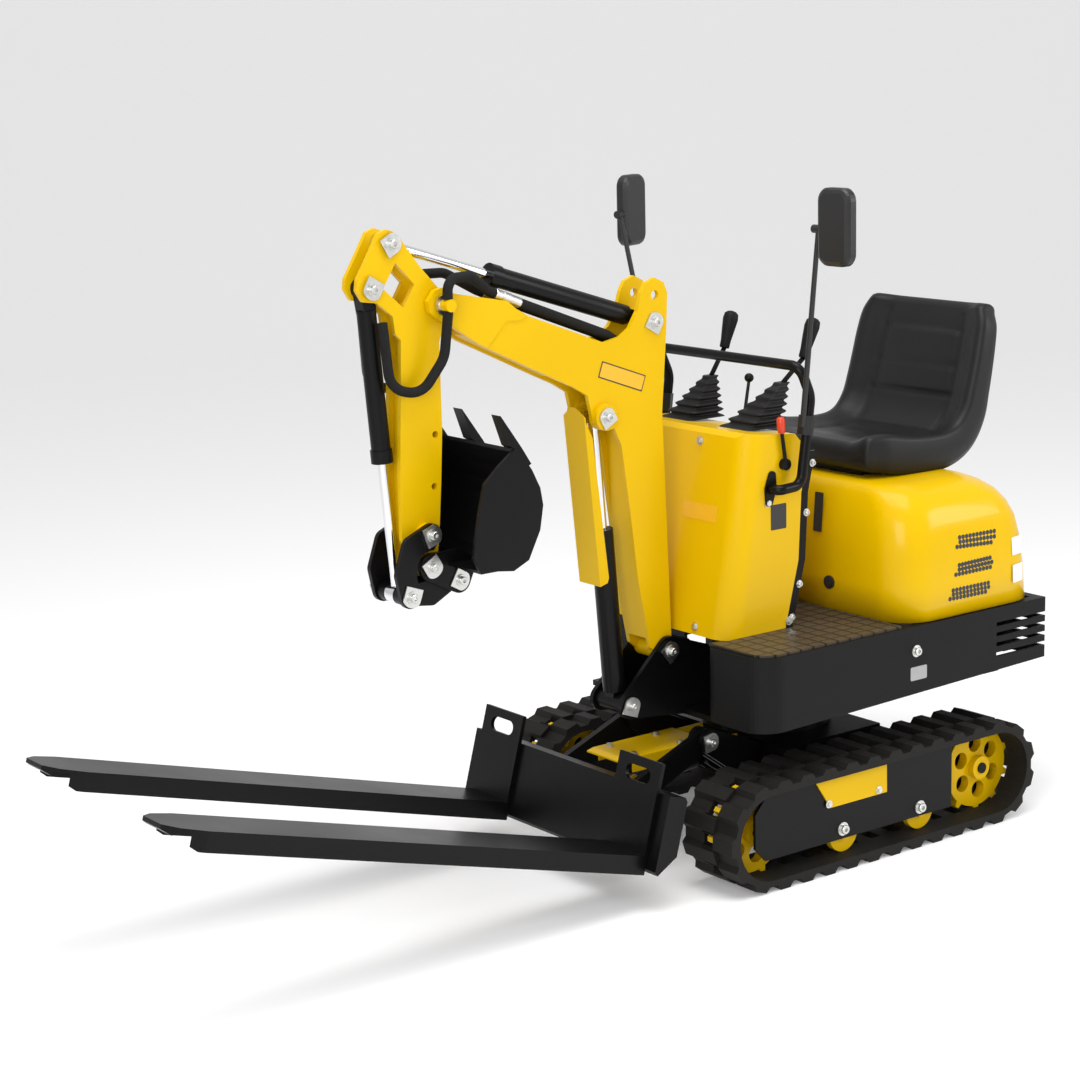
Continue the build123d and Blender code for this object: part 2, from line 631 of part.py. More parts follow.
with BuildPart() as boom:
    for sign in (1, -1):
        span = sorted((sign * (BOOM_HALF - BOOM_PLATE), sign * BOOM_HALF))
        profile(BOOM_OUTLINE, *span)
        disc(BOOM_RAM_EYE, 32, *sorted((sign * 28, sign * 57)))
        disc(ARM_RAM_FOOT, 24, *sorted((sign * 20, sign * 45)))
    profile(BOOM_CORE, -BOOM_HALF + BOOM_PLATE, BOOM_HALF - BOOM_PLATE)
    for sign in (1, -1):
        profile(BOOM_TIP_PLATE, *sorted((sign * BOOM_HALF, sign * (BOOM_HALF + 3))))
    disc(BOOM_FOOT, 27, -46, 46)
    disc(BOOM_FOOT, 15 + PIN_GAP, -50, 50, mode=Mode.SUBTRACT)
    disc(ARM_RAM_FOOT, 12, -45, 45)
    disc(ARM_PIVOT, 16, -52, 52)
    disc(ARM_PIVOT, SWIVEL_R, -HOSE_X - 14, HOSE_X + 14)
    disc(LIFT_EYE, 11, -50, 50, mode=Mode.SUBTRACT)
keep("boom", boom.part)

# Arm: head plates, box and bosses
ARM_OUTLINE = [
    (-1119, 1584), (-1101, 1568), (-1052, 1504), (-1005, 1453), (-968, 1415), (-985, 1382), (-1005, 1330),
    (-1005, 1131), (-1012, 1018), (-1023, 880), (-1033, 827), (-1046, 808), (-1065, 802), (-1084, 808),
    (-1098, 827),
    (-1124, 893), (-1123, 1032), (-1110, 1290), (-1108, 1344), (-1122, 1358), (-1127, 1398),
    (-1168, 1431), (-1203, 1436), (-1219, 1462), (-1216, 1485), (-1180, 1543), (-1157, 1582), (-1135, 1590),
]
ARM_CORE = [
    (-1020, 1440), (-985, 1400), (-1005, 1330), (-1005, 1131), (-1012, 1018), (-1023, 880), (-1032, 827),
    (-1085, 835), (-1109, 900), (-1109, 1032), (-1096, 1290), (-1094, 1350), (-1110, 1400), (-1075, 1420),
]
ARM_WINDOW = [(-1115, 1515), (-1067, 1464), (-1098, 1415), (-1150, 1461)]
with BuildPart() as arm:
    for sign in (1, -1):
        profile(ARM_OUTLINE, *sorted((sign * (ARM_HALF - ARM_PLATE), sign * ARM_HALF)))
    profile(ARM_CORE, -ARM_HALF + ARM_PLATE, ARM_HALF - ARM_PLATE)
    profile(ARM_WINDOW, -ARM_HALF - 1, ARM_HALF + 1, mode=Mode.SUBTRACT)
    disc(ARM_PIVOT, 16 + PIN_GAP, -40, 40, mode=Mode.SUBTRACT)
    for hole in ARM_HOLES:
        disc(hole, 8, -40, 40, mode=Mode.SUBTRACT)
    disc(BUCKET_RAM_FOOT, 12, -34, 34)
    disc(BUCKET_PIVOT, 25, -47, 47)
    disc(ROCKER_PIVOT, 24, -47, 47)
    disc(BUCKET_PIVOT, 14, -62, 62)
    disc(ROCKER_PIVOT, 12, -62, 62)
keep("arm", arm.part)

# Bucket: shell, side plates and pivot ears
BUCKET_OUTLINE = [
    (-912, 1095), (-899, 1086), (-867, 1041), (-845, 997), (-838, 957), (-848, 901), (-882, 836),
    (-925, 817), (-970, 823), (-1016, 823), (-1036, 862), (-1017, 959), (-1000, 1025), (-960, 1060),
]
BUCKET_VOID = [
    (-912, 1102), (-907, 1084), (-876, 1036), (-854, 994), (-846, 957), (-857, 904), (-888, 843),
    (-927, 825), (-970, 831), (-1060, 831), (-1060, 1100),
]
TOOTH = [(-940, 1170), (-914, 1098), (-898.8, 1086.6), (-870.2, 1046.3), (-858, 1052), (-884, 1092)]
with BuildPart() as bucket:
    profile(BUCKET_OUTLINE, -BUCKET_HALF, BUCKET_HALF)
    profile(BUCKET_VOID, -BUCKET_HALF + BUCKET_WALL, BUCKET_HALF - BUCKET_WALL, mode=Mode.SUBTRACT)
    for sign in (1, -1):
        span = sorted((sign * (OUTER_HALF - OUTER_PLATE), sign * OUTER_HALF))
        hull([(*BUCKET_PIVOT, 32), (*LINK_PIVOT, 30), (-950, 826, 10), (-1000, 846, 14)], *span)
        disc(BUCKET_PIVOT, 14 + PIN_GAP, *span, mode=Mode.SUBTRACT)
        disc(LINK_PIVOT, 12, *sorted((sign * 48, sign * 62)))
keep("bucket", bucket.part)

with BuildPart() as teeth:
    for x in (-148, 0, 148):
        profile(TOOTH, x - 18, x + 18)
keep("bucket_teeth", teeth.part)

# Rocker plates between arm and bucket ram
with BuildPart() as rocker:
    for sign in (1, -1):
        span = sorted((sign * (OUTER_HALF - OUTER_PLATE), sign * OUTER_HALF))
        hull([(*ROCKER_PIVOT, 26), (-1115, 880, 26), (-1136, 820, 26)], *span)
        hull([(-1136, 820, 26), (*ROCKER_EYE, 26)], *span)
        disc(BUCKET_PIVOT, 40, *span, mode=Mode.SUBTRACT)
        disc(ROCKER_PIVOT, 12 + PIN_GAP, *span, mode=Mode.SUBTRACT)
        disc(ROCKER_EYE, 12, *sorted((sign * 20, sign * 62)))
keep("rocker", rocker.part)

# Link between rocker and bucket
with BuildPart() as link:
    for sign in (1, -1):
        span = sorted((sign * 20, sign * 46))
        hull([(*ROCKER_EYE, 22), (-1058, 756, 20), (*LINK_PIVOT, 16)], *span)
    disc(ROCKER_EYE, 12 + PIN_GAP, -50, 50, mode=Mode.SUBTRACT)
    hull([(-1040, 779, 12), (-1075, 775, 12)], -20, 20)
keep("bucket_link", link.part)


def make_ram(name, foot, eye, neck, barrel_length, barrel_r, collar_r, rod_r, pin_r, foot_half, eye_half,
             tongue=None):
    """A ram: barrel with an eye on its foot pin, and a rod whose own eye is free. The
    barrel has its full width from the length called neck."""
    length = hypot(eye[0] - foot[0], eye[1] - foot[1])
    with BuildPart() as barrel:
        bar(foot, eye, neck, barrel_length, barrel_r)
        bar(foot, eye, barrel_length - 30, barrel_length, collar_r)
        disc(foot, pin_r + 12, -foot_half, foot_half)
        hull([(*foot, pin_r + 8), (*along(foot, eye, neck + 4), 16)], -min(17, foot_half), min(17, foot_half))
        bar(foot, eye, neck + 8, barrel_length + 1, rod_r + 0.3, mode=Mode.SUBTRACT)
        disc(foot, pin_r + PIN_GAP, -foot_half - 1, foot_half + 1, mode=Mode.SUBTRACT)
    keep(f"{name}_ram_barrel", barrel.part)
    with BuildPart() as rod:
        bar(foot, eye, barrel_length - 90, length - pin_r - 4, rod_r)
        disc(eye, pin_r + 10, -eye_half, eye_half)
        if tongue:
            profile(tongue, -18, 18)
    keep(f"{name}_ram_rod", rod.part)


GUARD_TONGUE = [(-565, 1095), (-565, 1125), (-602.9, 1125), (-600.1, 1095)]
make_ram("boom", BOOM_RAM_FOOT, BOOM_RAM_EYE, 30, 437, 28, 28.2, 14, 12, 46, 26, GUARD_TONGUE)
make_ram("arm", ARM_RAM_FOOT, ARM_RAM_EYE, 58, 477, 24, 27, 11, 12, 17, 17)
make_ram("bucket", BUCKET_RAM_FOOT, ROCKER_EYE, 48, 392, 22, 25, 11, 12, 17, 17)

# Guard over the boom ram: a folded channel bolted to the rod's eye
with BuildPart() as rod_guard:
    profile([(-608, 1134), (-568, 700), (-564, 700), (-604, 1134)], -40, 40)
    for sign in (1, -1):
        flange = [(-606, 1112), (-582, 1062), (-541, 718), (-545, 706), (-566, 700)]
        profile(flange, *sorted((sign * 36, sign * 40)))
        with BuildSketch(Plane.XZ.offset(540)) as corner:
            with BuildLine():
                Polyline((sign * 7, 1135), (sign * 41, 1111), (sign * 41, 1136), (sign * 7, 1136), close=True)
            make_face()
        extrude(corner.sketch, amount=100, mode=Mode.SUBTRACT)
keep("rod_guard", rod_guard.part)

# Blade: curved front plate on a box, with two arms
TILT = radians(BLADE_TILT)


def blade_point(forward, up):
    """A point of the blade's own level frame, tilted about the heel, in the YZ plane."""
    return (
        HEEL[0] - forward * cos(TILT) + up * sin(TILT),
        HEEL[1] + forward * sin(TILT) + up * cos(TILT),
    )


with BuildPart() as blade:
    profile(
        [blade_point(-11, 150), blade_point(-11, -30), blade_point(-20, -38), blade_point(-68, 10),
         blade_point(-68, 140), blade_point(-60, 150)],
        -BLADE_HALF, BLADE_HALF,
    )
    for sign in (1, -1):
        span = sorted((sign * 129, sign * 147))
        hull([(*BLADE_PIVOT, 28), (*blade_point(-75, 70), 34)], *span)
        disc(BLADE_PIVOT, 14 + PIN_GAP, *span, mode=Mode.SUBTRACT)
        hull([(*BLADE_RAM_EYE, 24), (*blade_point(-60, 60), 30)], *sorted((sign * 30, sign * 42)))
keep("blade", blade.part)

for side, sign in (("left", 1), ("right", -1)):
    low, high = sorted((sign * FORK_INNER, sign * (FORK_INNER + FORK_WIDTH)))
    with BuildPart() as fork:
        profile(
            [blade_point(0, 0), blade_point(FORK_LENGTH, 0), blade_point(FORK_LENGTH, -FORK_PLATE),
             blade_point(FORK_LENGTH - 75, -FORK_DEPTH), blade_point(-10, -FORK_DEPTH),
             blade_point(-10, UPRIGHT_HEIGHT), blade_point(0, UPRIGHT_HEIGHT)],
            low, high,
        )
        profile(
            [blade_point(FORK_WALL, -FORK_WALL), blade_point(FORK_LENGTH - 20, -FORK_WALL),
             blade_point(FORK_LENGTH - 20, -FORK_DEPTH - 5), blade_point(FORK_WALL, -FORK_DEPTH - 5)],
            low + FORK_WALL, high - FORK_WALL, mode=Mode.SUBTRACT,
        )
        middle = (low + high) / 2
        with BuildSketch(Plane(origin=(0, *HEEL), x_dir=(1, 0, 0), z_dir=(0, cos(TILT), -sin(TILT)))) as slot:
            with Locations((middle, -(UPRIGHT_HEIGHT - HANDLE_DROP))):
                SlotOverall(*HANDLE_SLOT)
        extrude(slot.sketch, amount=30, both=True, mode=Mode.SUBTRACT)
        with BuildSketch(Plane(origin=(0, *HEEL), x_dir=(1, 0, 0), z_dir=(0, sin(TILT), cos(TILT)))) as nose:
            for side_x, inward in ((low, 1), (high, -1)):
                with BuildLine():
                    Polyline((side_x, -FORK_LENGTH + 90), (side_x + inward * 14, -FORK_LENGTH + 30),
                             (side_x + inward * 40, -FORK_LENGTH), (side_x, -FORK_LENGTH),
                             close=True)
                make_face()
        extrude(nose.sketch, amount=60, both=True, mode=Mode.SUBTRACT)
    keep(f"fork_{side}", fork.part)

make_ram("blade", BLADE_RAM_FOOT, BLADE_RAM_EYE, 40, 210, 26, 28, 12, 12, 26, 26)

# Hoses, in pairs: over the boom to its tip, then down round the arm to the bucket ram
SWIVEL_END = SWIVEL_R + SEAT_GAP
BOOM_HOSE = [
    (20, -472, 1270), (20, -520, 1300), (24, -860, 1430), (52, -930, 1474), (HOSE_X, ARM_PIVOT[0], 1474),
    (HOSE_X, ARM_PIVOT[0], ARM_PIVOT[1] + SWIVEL_END),
]
ARM_HOSE = [
    (HOSE_X, ARM_PIVOT[0], ARM_PIVOT[1] - SWIVEL_END), (HOSE_X, -1020, 1300), (56, -1075, 1222),
    (44, -1150, 1240), (40, -1162, 1388),
]


def make_hoses(name, route, radii):
    """A pair of hoses, one on each side, along one route."""
    with BuildPart() as hoses:
        for sign in (1, -1):
            points = [(sign * x, y, z) for x, y, z in route]
            start, second = points[0], points[1]
            with BuildLine() as path:
                FilletPolyline(*points, radius=radii)
            heading = tuple(b - a for a, b in zip(start, second))
            with BuildSketch(Plane(origin=start, z_dir=heading)):
                Circle(HOSE_R)
            sweep(path=path.wires()[0])
    keep(name, hoses.part)


make_hoses("boom_hoses", BOOM_HOSE, [30, 60, 40, 30])
make_hoses("arm_hoses", ARM_HOSE, [80, 50, 50])

print(len(written), "nodes")
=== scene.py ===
from math import cos, pi, radians, sin

import bmesh
import bpy
from mathutils import Matrix, Quaternion, Vector
from mathutils.bvhtree import BVHTree


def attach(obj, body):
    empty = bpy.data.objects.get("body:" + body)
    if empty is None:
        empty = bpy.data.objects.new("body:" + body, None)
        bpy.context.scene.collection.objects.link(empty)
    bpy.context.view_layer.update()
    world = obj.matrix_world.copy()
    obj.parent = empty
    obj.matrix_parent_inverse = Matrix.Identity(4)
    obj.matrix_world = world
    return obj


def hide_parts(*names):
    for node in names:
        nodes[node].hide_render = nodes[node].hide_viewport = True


# A mini excavator on rubber tracks, dressed over its CAD frame. Metres, +X to the
# machine's left, -Y to its front, +Z up, and the ground at Z = 0.
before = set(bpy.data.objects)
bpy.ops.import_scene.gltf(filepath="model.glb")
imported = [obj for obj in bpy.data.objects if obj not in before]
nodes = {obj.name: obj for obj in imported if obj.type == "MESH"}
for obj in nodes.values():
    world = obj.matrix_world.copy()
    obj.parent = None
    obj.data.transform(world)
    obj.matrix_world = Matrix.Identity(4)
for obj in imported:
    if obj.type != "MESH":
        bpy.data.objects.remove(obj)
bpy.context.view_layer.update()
SIDES = (1, -1)

# ---- Camera --------------------------------------------------------------------------
# A long lens at the front left of the machine, a little above the mirrors.
CAMERA_PLACE = Vector((4.5462, -4.1299, 2.0285))
CAMERA_YAW, CAMERA_PITCH, CAMERA_ROLL = 0.926518, 0.207710, -0.025177
CAMERA_LENS = 82.186

lens = bpy.data.cameras.new("camera")
lens.lens = CAMERA_LENS
lens.sensor_width = 36.0
camera = bpy.data.objects.new("camera", lens)
turn = (
    Matrix.Rotation(CAMERA_YAW, 4, "Z")
    @ Matrix.Rotation(pi / 2 - CAMERA_PITCH, 4, "X")
    @ Matrix.Rotation(CAMERA_ROLL, 4, "Z")
)
camera.matrix_world = Matrix.Translation(CAMERA_PLACE) @ turn
bpy.context.collection.objects.link(camera)
bpy.context.scene.camera = camera


# ---- Studio --------------------------------------------------------------------------
# A white floor that sweeps up into a wall, a pale surround and three large soft lamps. The
# colours are shown plainly, as a photograph of the machine shows them.
def principled(name, colour, roughness, metallic=0.0):
    """A new material and its shader, with the plain values on the shader's own sockets."""
    material = bpy.data.materials.new(name)
    material.use_nodes = True
    shader = material.node_tree.nodes["Principled BSDF"]
    shader.inputs["Base Color"].default_value = (*colour, 1.0)
    shader.inputs["Roughness"].default_value = roughness
    shader.inputs["Metallic"].default_value = metallic
    return material, shader


def mesh_object(name, vertices, faces, material=None, smooth=False):
    """A plain mesh object at the origin, with its faces turned outwards."""
    mesh = bpy.data.meshes.new(name)
    mesh.from_pydata([tuple(v) for v in vertices], [], faces)
    edit = bmesh.new()
    edit.from_mesh(mesh)
    bmesh.ops.remove_doubles(edit, verts=edit.verts, dist=1e-6)
    bmesh.ops.recalc_face_normals(edit, faces=edit.faces)
    edit.to_mesh(mesh)
    edit.free()
    if smooth:
        mesh.shade_smooth()
    piece = bpy.data.objects.new(name, mesh)
    bpy.context.collection.objects.link(piece)
    if material:
        mesh.materials.append(material)
    return piece


COVE_START, COVE_RADIUS, COVE_TOP, COVE_HALF = 9.0, 7.0, 16.0, 40.0
COVE_STEPS = 32
FLOOR_FRONT = 30.0
FLOOR_DROP = 0.0005


def make_cove(material):
    """A floor that runs behind the machine and turns up into a wall in one sweep."""
    away = Vector((-sin(CAMERA_YAW), cos(CAMERA_YAW), 0))
    across = Vector((cos(CAMERA_YAW), sin(CAMERA_YAW), 0))
    line = [(-FLOOR_FRONT, 0.0)]
    for i in range(COVE_STEPS + 1):
        a = i * pi / 2 / COVE_STEPS
        line.append((COVE_START + COVE_RADIUS * sin(a), COVE_RADIUS * (1 - cos(a))))
    line.append((COVE_START + COVE_RADIUS, COVE_TOP))
    corners = [away * d + across * side * COVE_HALF + Vector((0, 0, z - FLOOR_DROP))
               for d, z in line for side in (-1, 1)]
    faces = [(2 * i, 2 * i + 1, 2 * i + 3, 2 * i + 2) for i in range(len(line) - 1)]
    return mesh_object("studio_floor", corners, faces, material, smooth=True)


floor_material, floor_shader = principled("studio_floor", (0.86, 0.86, 0.86), 0.9)
floor_shader.inputs["Specular IOR Level"].default_value = 0.0
floor_shader.inputs["Emission Color"].default_value = (1.0, 1.0, 1.0, 1.0)
floor_shader.inputs["Emission Strength"].default_value = 0.15
make_cove(floor_material)

surround = bpy.data.worlds.new("surround")
surround.use_nodes = True
surround.node_tree.nodes["Background"].inputs["Color"].default_value = (1.0, 1.0, 1.0, 1.0)
surround.node_tree.nodes["Background"].inputs["Strength"].default_value = 0.66
bpy.context.scene.world = surround
bpy.context.scene.view_settings.view_transform = "Standard"


def soft_lamp(name, place, target, size, power):
    """A square lamp that faces its target."""
    lamp = bpy.data.lights.new(name, "AREA")
    lamp.shape = "SQUARE"
    lamp.size = size
    lamp.energy = power
    holder = bpy.data.objects.new(name, lamp)
    aim = (Vector(target) - Vector(place)).to_track_quat("-Z", "Y")
    holder.matrix_world = Matrix.Translation(place) @ aim.to_matrix().to_4x4()
    bpy.context.collection.objects.link(holder)


soft_lamp("overhead", (0.6, -0.8, 4.6), (0.0, -0.2, 0.6), 3.0, 130.0)
soft_lamp("front_left", (3.2, -4.4, 2.6), (0.0, -0.4, 0.7), 2.4, 105.0)
soft_lamp("rear_left", (3.6, 3.2, 2.6), (0.0, 0.2, 0.8), 2.0, 80.0)


# ---- Finishes shared by the steelwork ------------------------------------------------
# Each finish has its own fine relief and a slight drift of its colour and gloss.
def relief(material, shader, scale, strength, depth, detail=4.0, kind="noise"):
    """Fine relief on Object coordinates, wired to the shader's normal."""
    tree = material.node_tree
    place = tree.nodes.new("ShaderNodeTexCoord")
    if kind == "noise":
        grain = tree.nodes.new("ShaderNodeTexNoise")
        grain.inputs["Detail"].default_value = detail
        height = grain.outputs["Fac"]
    else:
        grain = tree.nodes.new("ShaderNodeTexVoronoi")
        height = grain.outputs["Distance"]
    grain.inputs["Scale"].default_value = scale
    bump = tree.nodes.new("ShaderNodeBump")
    bump.inputs["Strength"].default_value = strength
    bump.inputs["Distance"].default_value = depth
    tree.links.new(place.outputs["Object"], grain.inputs["Vector"])
    tree.links.new(height, bump.inputs["Height"])
    tree.links.new(bump.outputs["Normal"], shader.inputs["Normal"])


def drift(material, shader, dark, light, scale, rough_from, rough_to):
    """Slow change of colour and gloss over the surface."""
    tree = material.node_tree
    place = tree.nodes.new("ShaderNodeTexCoord")
    cloud = tree.nodes.new("ShaderNodeTexNoise")
    cloud.inputs["Scale"].default_value = scale
    cloud.inputs["Detail"].default_value = 3.0
    mix = tree.nodes.new("ShaderNodeMix")
    mix.data_type = "RGBA"
    mix.inputs["A"].default_value = (*dark, 1.0)
    mix.inputs["B"].default_value = (*light, 1.0)
    gloss = tree.nodes.new("ShaderNodeMapRange")
    gloss.inputs["To Min"].default_value = rough_from
    gloss.inputs["To Max"].default_value = rough_to
    tree.links.new(place.outputs["Object"], cloud.inputs["Vector"])
    tree.links.new(cloud.outputs["Fac"], mix.inputs["Factor"])
    tree.links.new(cloud.outputs["Fac"], gloss.inputs["Value"])
    tree.links.new(mix.outputs["Result"], shader.inputs["Base Color"])
    tree.links.new(gloss.outputs["Result"], shader.inputs["Roughness"])


def make_yellow_paint():
    """Gloss yellow paint on welded steel, with the soft orange peel of a sprayed coat."""
    material, shader = principled("yellow_paint_coat", (0.68, 0.42, 0.0), 0.36)
    shader.inputs["Specular IOR Level"].default_value = 0.12
    shader.inputs["Coat Weight"].default_value = 0.06
    shader.inputs["Coat Roughness"].default_value = 0.12
    relief(material, shader, 260.0, 0.10, 0.0006, 2.0)
    drift(material, shader, (0.64, 0.390, 0.0), (0.72, 0.445, 0.0), 3.0, 0.32, 0.42)
    return material


def make_yellow_moulding():
    """Gloss yellow moulding of the hood and the console, smoother than the paint."""
    material, shader = principled("yellow_moulding_skin", (0.68, 0.42, 0.0), 0.28)
    shader.inputs["Specular IOR Level"].default_value = 0.12
    shader.inputs["Coat Weight"].default_value = 0.14
    shader.inputs["Coat Roughness"].default_value = 0.05
    relief(material, shader, 40.0, 0.05, 0.0008, 2.0)
    drift(material, shader, (0.64, 0.390, 0.0), (0.72, 0.445, 0.0), 2.0, 0.22, 0.32)
    return material


def make_black_paint():
    """Satin black paint on steel."""
    material, shader = principled("black_paint_coat", (0.003, 0.003, 0.003), 0.35)
    shader.inputs["Specular IOR Level"].default_value = 0.14
    shader.inputs["Coat Weight"].default_value = 0.05
    shader.inputs["Coat Roughness"].default_value = 0.2
    relief(material, shader, 300.0, 0.18, 0.0006, 3.0)
    drift(material, shader, (0.002, 0.002, 0.002), (0.004, 0.004, 0.0042), 5.0, 0.26, 0.42)
    return material


def make_black_moulding():
    """Textured black moulding of the skirt."""
    material, shader = principled("black_moulding_skin", (0.004, 0.004, 0.004), 0.5)
    shader.inputs["Specular IOR Level"].default_value = 0.16
    relief(material, shader, 900.0, 0.35, 0.0006, 2.0)
    drift(material, shader, (0.003, 0.003, 0.003), (0.006, 0.006, 0.006), 6.0, 0.42, 0.58)
    return material


def make_chrome():
    """Hard chrome of the rams' rods, ground along their length."""
    material, shader = principled("chrome_rod_skin", (0.80, 0.81, 0.83), 0.12, 1.0)
    relief(material, shader, 500.0, 0.04, 0.0002, 2.0)
    drift(material, shader, (0.74, 0.75, 0.77), (0.84, 0.85, 0.87), 30.0, 0.08, 0.18)
    return material


def make_zinc():
    """Bright zinc plate on bolts, lock plates and fittings."""
    material, shader = principled("zinc_skin", (0.66, 0.66, 0.64), 0.3, 1.0)
    relief(material, shader, 700.0, 0.15, 0.0003, 3.0)
    drift(material, shader, (0.55, 0.55, 0.53), (0.74, 0.74, 0.72), 90.0, 0.24, 0.42)
    return material


yellow_paint = make_yellow_paint()
yellow_moulding = make_yellow_moulding()
black_paint = make_black_paint()
black_moulding = make_black_moulding()
chrome = make_chrome()
zinc = make_zinc()


def paint(material, *names):
    """Gives CAD nodes their finish."""
    for name in names:
        for entry in nodes[name].material_slots:
            entry.material = material


# ---- Tracks --------------------------------------------------------------------------
# Two belts of black rubber with staggered lugs. The rubber is matt, with fine mould
# texture and a grey bloom.
def make_track_rubber():
    material, shader = principled("track_rubber_skin", (0.008, 0.0075, 0.007), 0.7)
    shader.inputs["Specular IOR Level"].default_value = 0.2
    relief(material, shader, 420.0, 0.4, 0.0012, 6.0)
    drift(material, shader, (0.005, 0.0047, 0.0044), (0.015, 0.014, 0.012), 14.0, 0.55, 0.78)
    return material


paint(make_track_rubber(), "track_left", "track_right")

# ---- Wheels and frame of the undercarriage -------------------------------------------
# Yellow sprockets, idlers and rollers between black side plates.
paint(yellow_paint, "sprocket_left", "sprocket_right", "idler_left", "idler_right", "track_rollers")
paint(yellow_paint, "frame_covers", "hose_guard")
paint(black_paint, "side_frame_left", "side_frame_right", "travel_motors", "center_frame", "slew_ring")
paint(black_paint, "turntable")


def prism(outline, low, high):
    """Corners and faces of a plate with an (x, y) outline, between two heights."""
    count = len(outline)
    corners = [(x, y, z) for z in (low, high) for x, y in outline]
    sides = [(i, (i + 1) % count, count + (i + 1) % count, count + i) for i in range(count)]
    return corners, [tuple(reversed(range(count))), tuple(range(count, 2 * count))] + sides


def ring(radius, count, start=0.0):
    """Corners of a regular polygon."""
    angles = [start + 2 * pi * i / count for i in range(count)]
    return [(radius * cos(a), radius * sin(a)) for a in angles]


def joined(*parts):
    """Several sets of corners and faces as one."""
    corners, faces = [], []
    for more, shape in parts:
        faces += [tuple(i + len(corners) for i in face) for face in shape]
        corners += more
    return corners, faces


def skin_of_rings(rings):
    """Corners and faces of a shell through rings with equal counts, closed at the last."""
    corners = [point for one in rings for point in one]
    count = len(rings[0])
    faces = []
    for level in range(len(rings) - 1):
        for i in range(count):
            a, b = level * count + i, level * count + (i + 1) % count
            faces.append((a, b, b + count, a + count))
    faces.append(tuple(range((len(rings) - 1) * count, len(rings) * count)))
    return corners, faces


def socket_head(radius, height, base):
    """A cap screw's head with its hexagonal socket."""
    rim = ring(radius, 24)
    hexagon = []
    for i in range(24):
        a = 2 * pi * i / 24
        reach = radius * 0.5 * cos(pi / 6) / cos((a % (pi / 3)) - pi / 6)
        hexagon.append((reach * cos(a), reach * sin(a)))
    bevel = ring(radius * 0.9, 24)
    rings = [(rim, base), (rim, base + height * 0.85), (bevel, base + height), (hexagon, base + height),
             (hexagon, base + height * 0.45)]
    corners = [(x, y, z) for outline, z in rings for x, y in outline]
    faces = []
    for level in range(len(rings) - 1):
        for i in range(24):
            a, b = level * 24 + i, level * 24 + (i + 1) % 24
            faces.append((a, b, b + 24, a + 24))
    faces.append(tuple(range(4 * 24, 5 * 24)))
    return corners, faces


def hex_bolt():
    """A small flanged hexagon bolt, 1 unit across its flange."""
    return joined(
        prism(ring(0.5, 20), 0.0, 0.07),
        prism(ring(0.36, 6), 0.07, 0.30),
        prism(ring(0.28, 12), 0.30, 0.34),
    )


def cap_screw():
    """A cap screw on its washer, 1 unit across the washer."""
    return joined(prism(ring(0.5, 24), 0.0, 0.08), socket_head(0.34, 0.30, 0.08))


def build_scatter_tree():
    """Puts one shape on each point, turned by the point's own rotation."""
    tree = bpy.data.node_groups.new("fasteners", "GeometryNodeTree")
    face = tree.interface
    face.new_socket("Geometry", in_out="INPUT", socket_type="NodeSocketGeometry")
    face.new_socket("Shape", in_out="INPUT", socket_type="NodeSocketObject")
    face.new_socket("Size", in_out="INPUT", socket_type="NodeSocketFloat")
    face.new_socket("Material", in_out="INPUT", socket_type="NodeSocketMaterial")
    face.new_socket("Geometry", in_out="OUTPUT", socket_type="NodeSocketGeometry")
    entry = tree.nodes.new("NodeGroupInput")
    shape = tree.nodes.new("GeometryNodeObjectInfo")
    turned = tree.nodes.new("GeometryNodeInputNamedAttribute")
    turned.data_type = "QUATERNION"
    turned.inputs["Name"].default_value = "turn"
    put = tree.nodes.new("GeometryNodeInstanceOnPoints")
    real = tree.nodes.new("GeometryNodeRealizeInstances")
    skin = tree.nodes.new("GeometryNodeSetMaterial")
    leave = tree.nodes.new("NodeGroupOutput")
    link = tree.links.new
    link(entry.outputs["Geometry"], put.inputs["Points"])
    link(entry.outputs["Shape"], shape.inputs["Object"])
    link(shape.outputs["Geometry"], put.inputs["Instance"])
    link(turned.outputs["Attribute"], put.inputs["Rotation"])
    link(entry.outputs["Size"], put.inputs["Scale"])
    link(put.outputs["Instances"], real.inputs["Geometry"])
    link(real.outputs["Geometry"], skin.inputs["Geometry"])
    link(entry.outputs["Material"], skin.inputs["Material"])
    link(skin.outputs["Geometry"], leave.inputs["Geometry"])
    return tree


scatter_tree = build_scatter_tree()


def settle(piece):
    """The piece with its modifiers worked out, as a plain mesh."""
    ready = bpy.data.meshes.new_from_object(piece.evaluated_get(bpy.context.evaluated_depsgraph_get()))
    piece.modifiers.clear()
    old = piece.data
    piece.data = ready
    bpy.data.meshes.remove(old)
    return piece


def set_inputs(modifier, tree, values):
    """Sets a Geometry Nodes modifier's inputs by their sockets' identifiers."""
    for socket in tree.interface.items_tree:
        if socket.in_out == "INPUT" and socket.name in values:
            modifier[socket.identifier] = values[socket.name]


def scatter(name, shape, spots, size, material, body):
    """One shape on each spot: (place, direction it faces, turn about it)."""
    corners, faces = shape
    pattern = mesh_object(name + "_pattern", corners, faces)
    points = bpy.data.meshes.new(name)
    points.from_pydata([tuple(place) for place, _, _ in spots], [], [])
    turns = points.attributes.new("turn", "QUATERNION", "POINT")
    for entry, (_, facing, spin) in zip(turns.data, spots):
        entry.value = Vector(facing).to_track_quat("Z", "Y") @ Quaternion((0, 0, 1), spin)
    piece = bpy.data.objects.new(name, points)
    bpy.context.collection.objects.link(piece)
    modifier = piece.modifiers.new("fasteners", "NODES")
    modifier.node_group = scatter_tree
    set_inputs(modifier, scatter_tree, {"Shape": pattern, "Size": size, "Material": material})
    settle(piece)
    bpy.data.objects.remove(pattern)
    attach(piece, body)
    return piece


